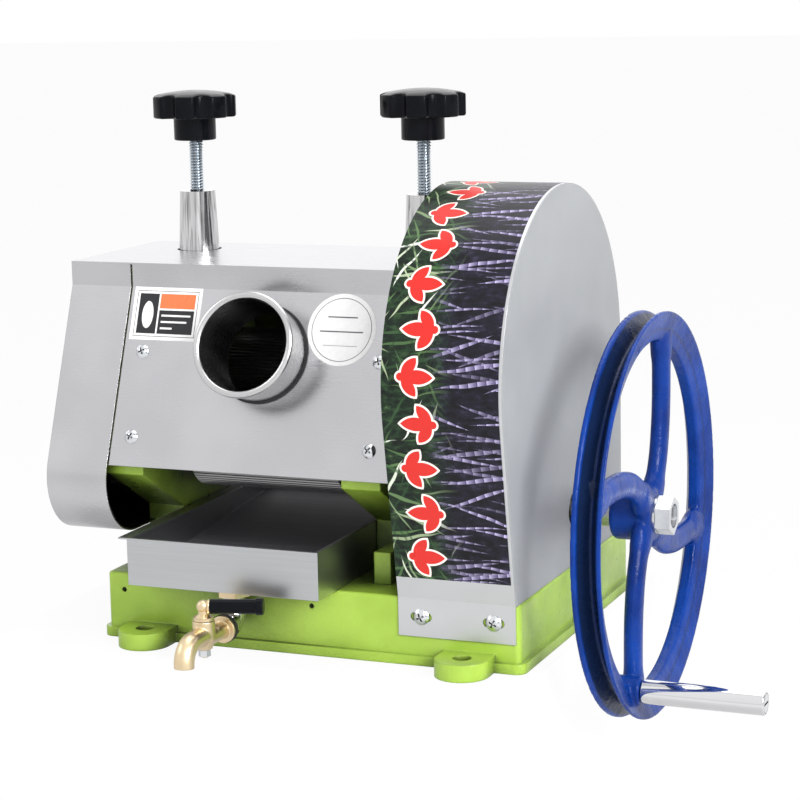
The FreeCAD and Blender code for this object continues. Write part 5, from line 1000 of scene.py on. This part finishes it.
def knob_mesh(node):
    """Rings from the bore's foot, up the hub, round the lobes and over the domed crown."""
    low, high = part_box(node)
    centre = Vector(((low.x + high.x) / 2, (low.y + high.y) / 2, low.z))
    angles = full_turn(KNOB_LOBES * KNOB_STEPS)
    rings = []

    def ring(radius_at, height_at):
        rings.append([centre + Vector((radius_at(a) * math.cos(a), radius_at(a) * math.sin(a),
                                       height_at(a))) for a in angles])

    def dome_at(a, share):
        reach = knob_outline(a) * share / KNOB_RADIUS
        return HUB_HEIGHT + LOBE_HEIGHT + DOME * (1 - reach ** 2)

    ring(lambda a: KNOB_BORE, lambda a: 0.0)
    for inset, rise in ((1.2, 0), (0.35, 0.35), (0, 1.2)):
        ring(lambda a: KNOB_HUB - inset * MM, lambda a: rise * MM)
    for grow, drop in ((0, 1.6), (0.5, 0.5), (1.6, 0)):
        ring(lambda a: KNOB_HUB + grow * MM, lambda a: HUB_HEIGHT - drop * MM)
    for inset, rise in ((1.8, 0), (0.9, 0.24), (0.24, 0.9), (0, 1.8)):
        ring(lambda a: knob_outline(a) - inset * MM, lambda a: HUB_HEIGHT + rise * MM)
    for inset, drop in ((0, 1.8), (0.24, 0.9), (0.9, 0.24), (1.8, 0)):
        ring(lambda a: knob_outline(a) - inset * MM, lambda a: dome_at(a, 1) - drop * MM)
    for share in (0.88, 0.8, 0.7, 0.6, 0.5, 0.4, 0.3, 0.2, 0.1, 0.02):
        ring(lambda a: knob_outline(a) * share, lambda a: dome_at(a, share))
    made = bmesh.new()
    shell(made, rings)
    return from_bmesh(made, node + "_moulded")


for side in ("left", "right"):
    to_piece(f"{side}_star_knob", knob_mesh(f"{side}_knob"), f"{side}_screw", "black_plastic",
             f"{side}_knob", sharp=50)

# %% [markdown]
# ### Screw threads
# The thread follows a rule, so Geometry Nodes make it. A fine cylinder is pushed inwards by a wave of its
# height less one pitch for each turn round, which is exactly a helix. A plain shank is joined below it.


# %% Cut the threads
ROD_SIDES, RINGS_PER_TURN = 48, 8
SCREW_RADIUS, THREAD_DEPTH, SCREW_PITCH = 6.35 * MM, 1.3 * MM, 2.5 * MM
THREAD_STARTS_IN = 12 * MM


def lifted(tree, rod, top, foot):
    """A rod moved up until its middle is halfway between two heights."""
    lift = add(tree, "ShaderNodeCombineXYZ", {2: times(tree, plus(tree, top, foot), 0.5)})
    return add(tree, "GeometryNodeTransform", {"Geometry": rod, "Translation": lift})


def thread_nodes():
    """The tree of a rod with thread from Start to Top and a plain shank below it."""
    tree = bpy.data.node_groups.new("threaded_rod", "GeometryNodeTree")
    tree.interface.new_socket("Rod", in_out="OUTPUT", socket_type="NodeSocketGeometry")
    kinds = {"Centre": "Vector", "Rings": "Int", "Finish": "Material"}
    for name in ("Radius", "Depth", "Pitch", "Bottom", "Start", "Top", *kinds):
        kind = "NodeSocket" + kinds.get(name, "Float")
        tree.interface.new_socket(name, in_out="INPUT", socket_type=kind)
    given = tree.nodes.new("NodeGroupInput").outputs
    length = minus(tree, given["Top"], given["Start"])
    rod = add(tree, "GeometryNodeMeshCylinder", {"Vertices": ROD_SIDES, "Side Segments": given["Rings"],
                                                 "Radius": given["Radius"], "Depth": length})
    x, y, z = separate(tree, tree.nodes.new("GeometryNodeInputPosition").outputs[0])
    turns = over(tree, maths(tree, "ARCTAN2", y, x), math.tau)
    wave = maths(tree, "FRACT", minus(tree, over(tree, z, given["Pitch"]), turns))
    tooth = times(tree, maths(tree, "ABSOLUTE", minus(tree, wave, 0.5)), 2.0)
    groove = maths(tree, "MULTIPLY_ADD", tooth, 1.25, -0.125, clamp=True)
    depth = over(tree, times(tree, groove, given["Depth"]), given["Radius"])
    shrink = minus(tree, 1.0, depth)
    moved = add(tree, "ShaderNodeCombineXYZ", {0: times(tree, x, shrink), 1: times(tree, y, shrink), 2: z})
    rod = add(tree, "GeometryNodeSetPosition", {"Geometry": rod, "Position": moved})
    rod = lifted(tree, rod, given["Top"], given["Start"])
    drop = minus(tree, given["Start"], given["Bottom"])
    shank = add(tree, "GeometryNodeMeshCylinder", {"Vertices": ROD_SIDES, "Radius": given["Radius"],
                                                   "Depth": drop})
    shank = lifted(tree, shank, given["Start"], given["Bottom"])
    both = tree.nodes.new("GeometryNodeJoinGeometry")
    for part in (shank, rod):
        tree.links.new(part, both.inputs[0])
    moved = add(tree, "GeometryNodeTransform", {"Geometry": both.outputs[0],
                                                "Translation": given["Centre"]})
    solid = add(tree, "GeometryNodeRealizeInstances", {"Geometry": moved})
    dressed = add(tree, "GeometryNodeSetMaterial", {"Geometry": solid, "Material": given["Finish"]})
    tree.links.new(dressed, tree.nodes.new("NodeGroupOutput").inputs[0])
    return tree


def grown(tree, values):
    """The mesh that a Geometry Nodes tree makes from its named inputs."""
    holder = placed("holder", bpy.data.meshes.new("holder"))
    step = holder.modifiers.new("nodes", "NODES")
    step.node_group = tree
    for item in tree.interface.items_tree:
        if item.in_out == "INPUT":
            step[item.identifier] = values[item.name]
    return plain_mesh(holder)


threaded_rod = thread_nodes()
for side in ("left", "right"):
    low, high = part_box(f"{side}_pressure_screw")
    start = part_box(f"{side}_screw_sleeve")[1].z - THREAD_STARTS_IN
    rod = grown(threaded_rod, {
        "Radius": SCREW_RADIUS, "Depth": THREAD_DEPTH, "Pitch": SCREW_PITCH, "Bottom": low.z,
        "Start": start, "Top": high.z, "Centre": Vector(((low.x + high.x) / 2, (low.y + high.y) / 2, 0)),
        "Rings": round((high.z - start) / SCREW_PITCH * RINGS_PER_TURN), "Finish": finishes["thread_zinc"]})
    to_piece(f"{side}_threaded_screw", rod, f"{side}_screw", "zinc_steel", f"{side}_pressure_screw",
             chosen="thread_zinc", sharp=60)

# %% [markdown]
# ### Cast brass
# The tap's parts are cast and tumbled, so no corner on them is sharp. Each solid is copied, its loose
# triangles are joined, and a fine remesh with smoothing rounds it.


# %% Tumble the tap
TAP_PIECES = (("tap_body", "tap_body_cast", "tray", 0.00045),
              ("tap_lever", "tap_lever_cast", "tap", 0.0004))


def tumbled(node, voxel):
    """A rounded copy of a solid."""
    made = bmesh.new()
    made.from_mesh(frame["nodes"][node].data)
    bmesh.ops.remove_doubles(made, verts=made.verts, dist=0.00001)
    return melted(from_bmesh(made, node + "_copy"), voxel, 9)


for node, name, body, voxel in TAP_PIECES:
    to_piece(name, tumbled(node, voxel), body, "brass", node, sharp=180)
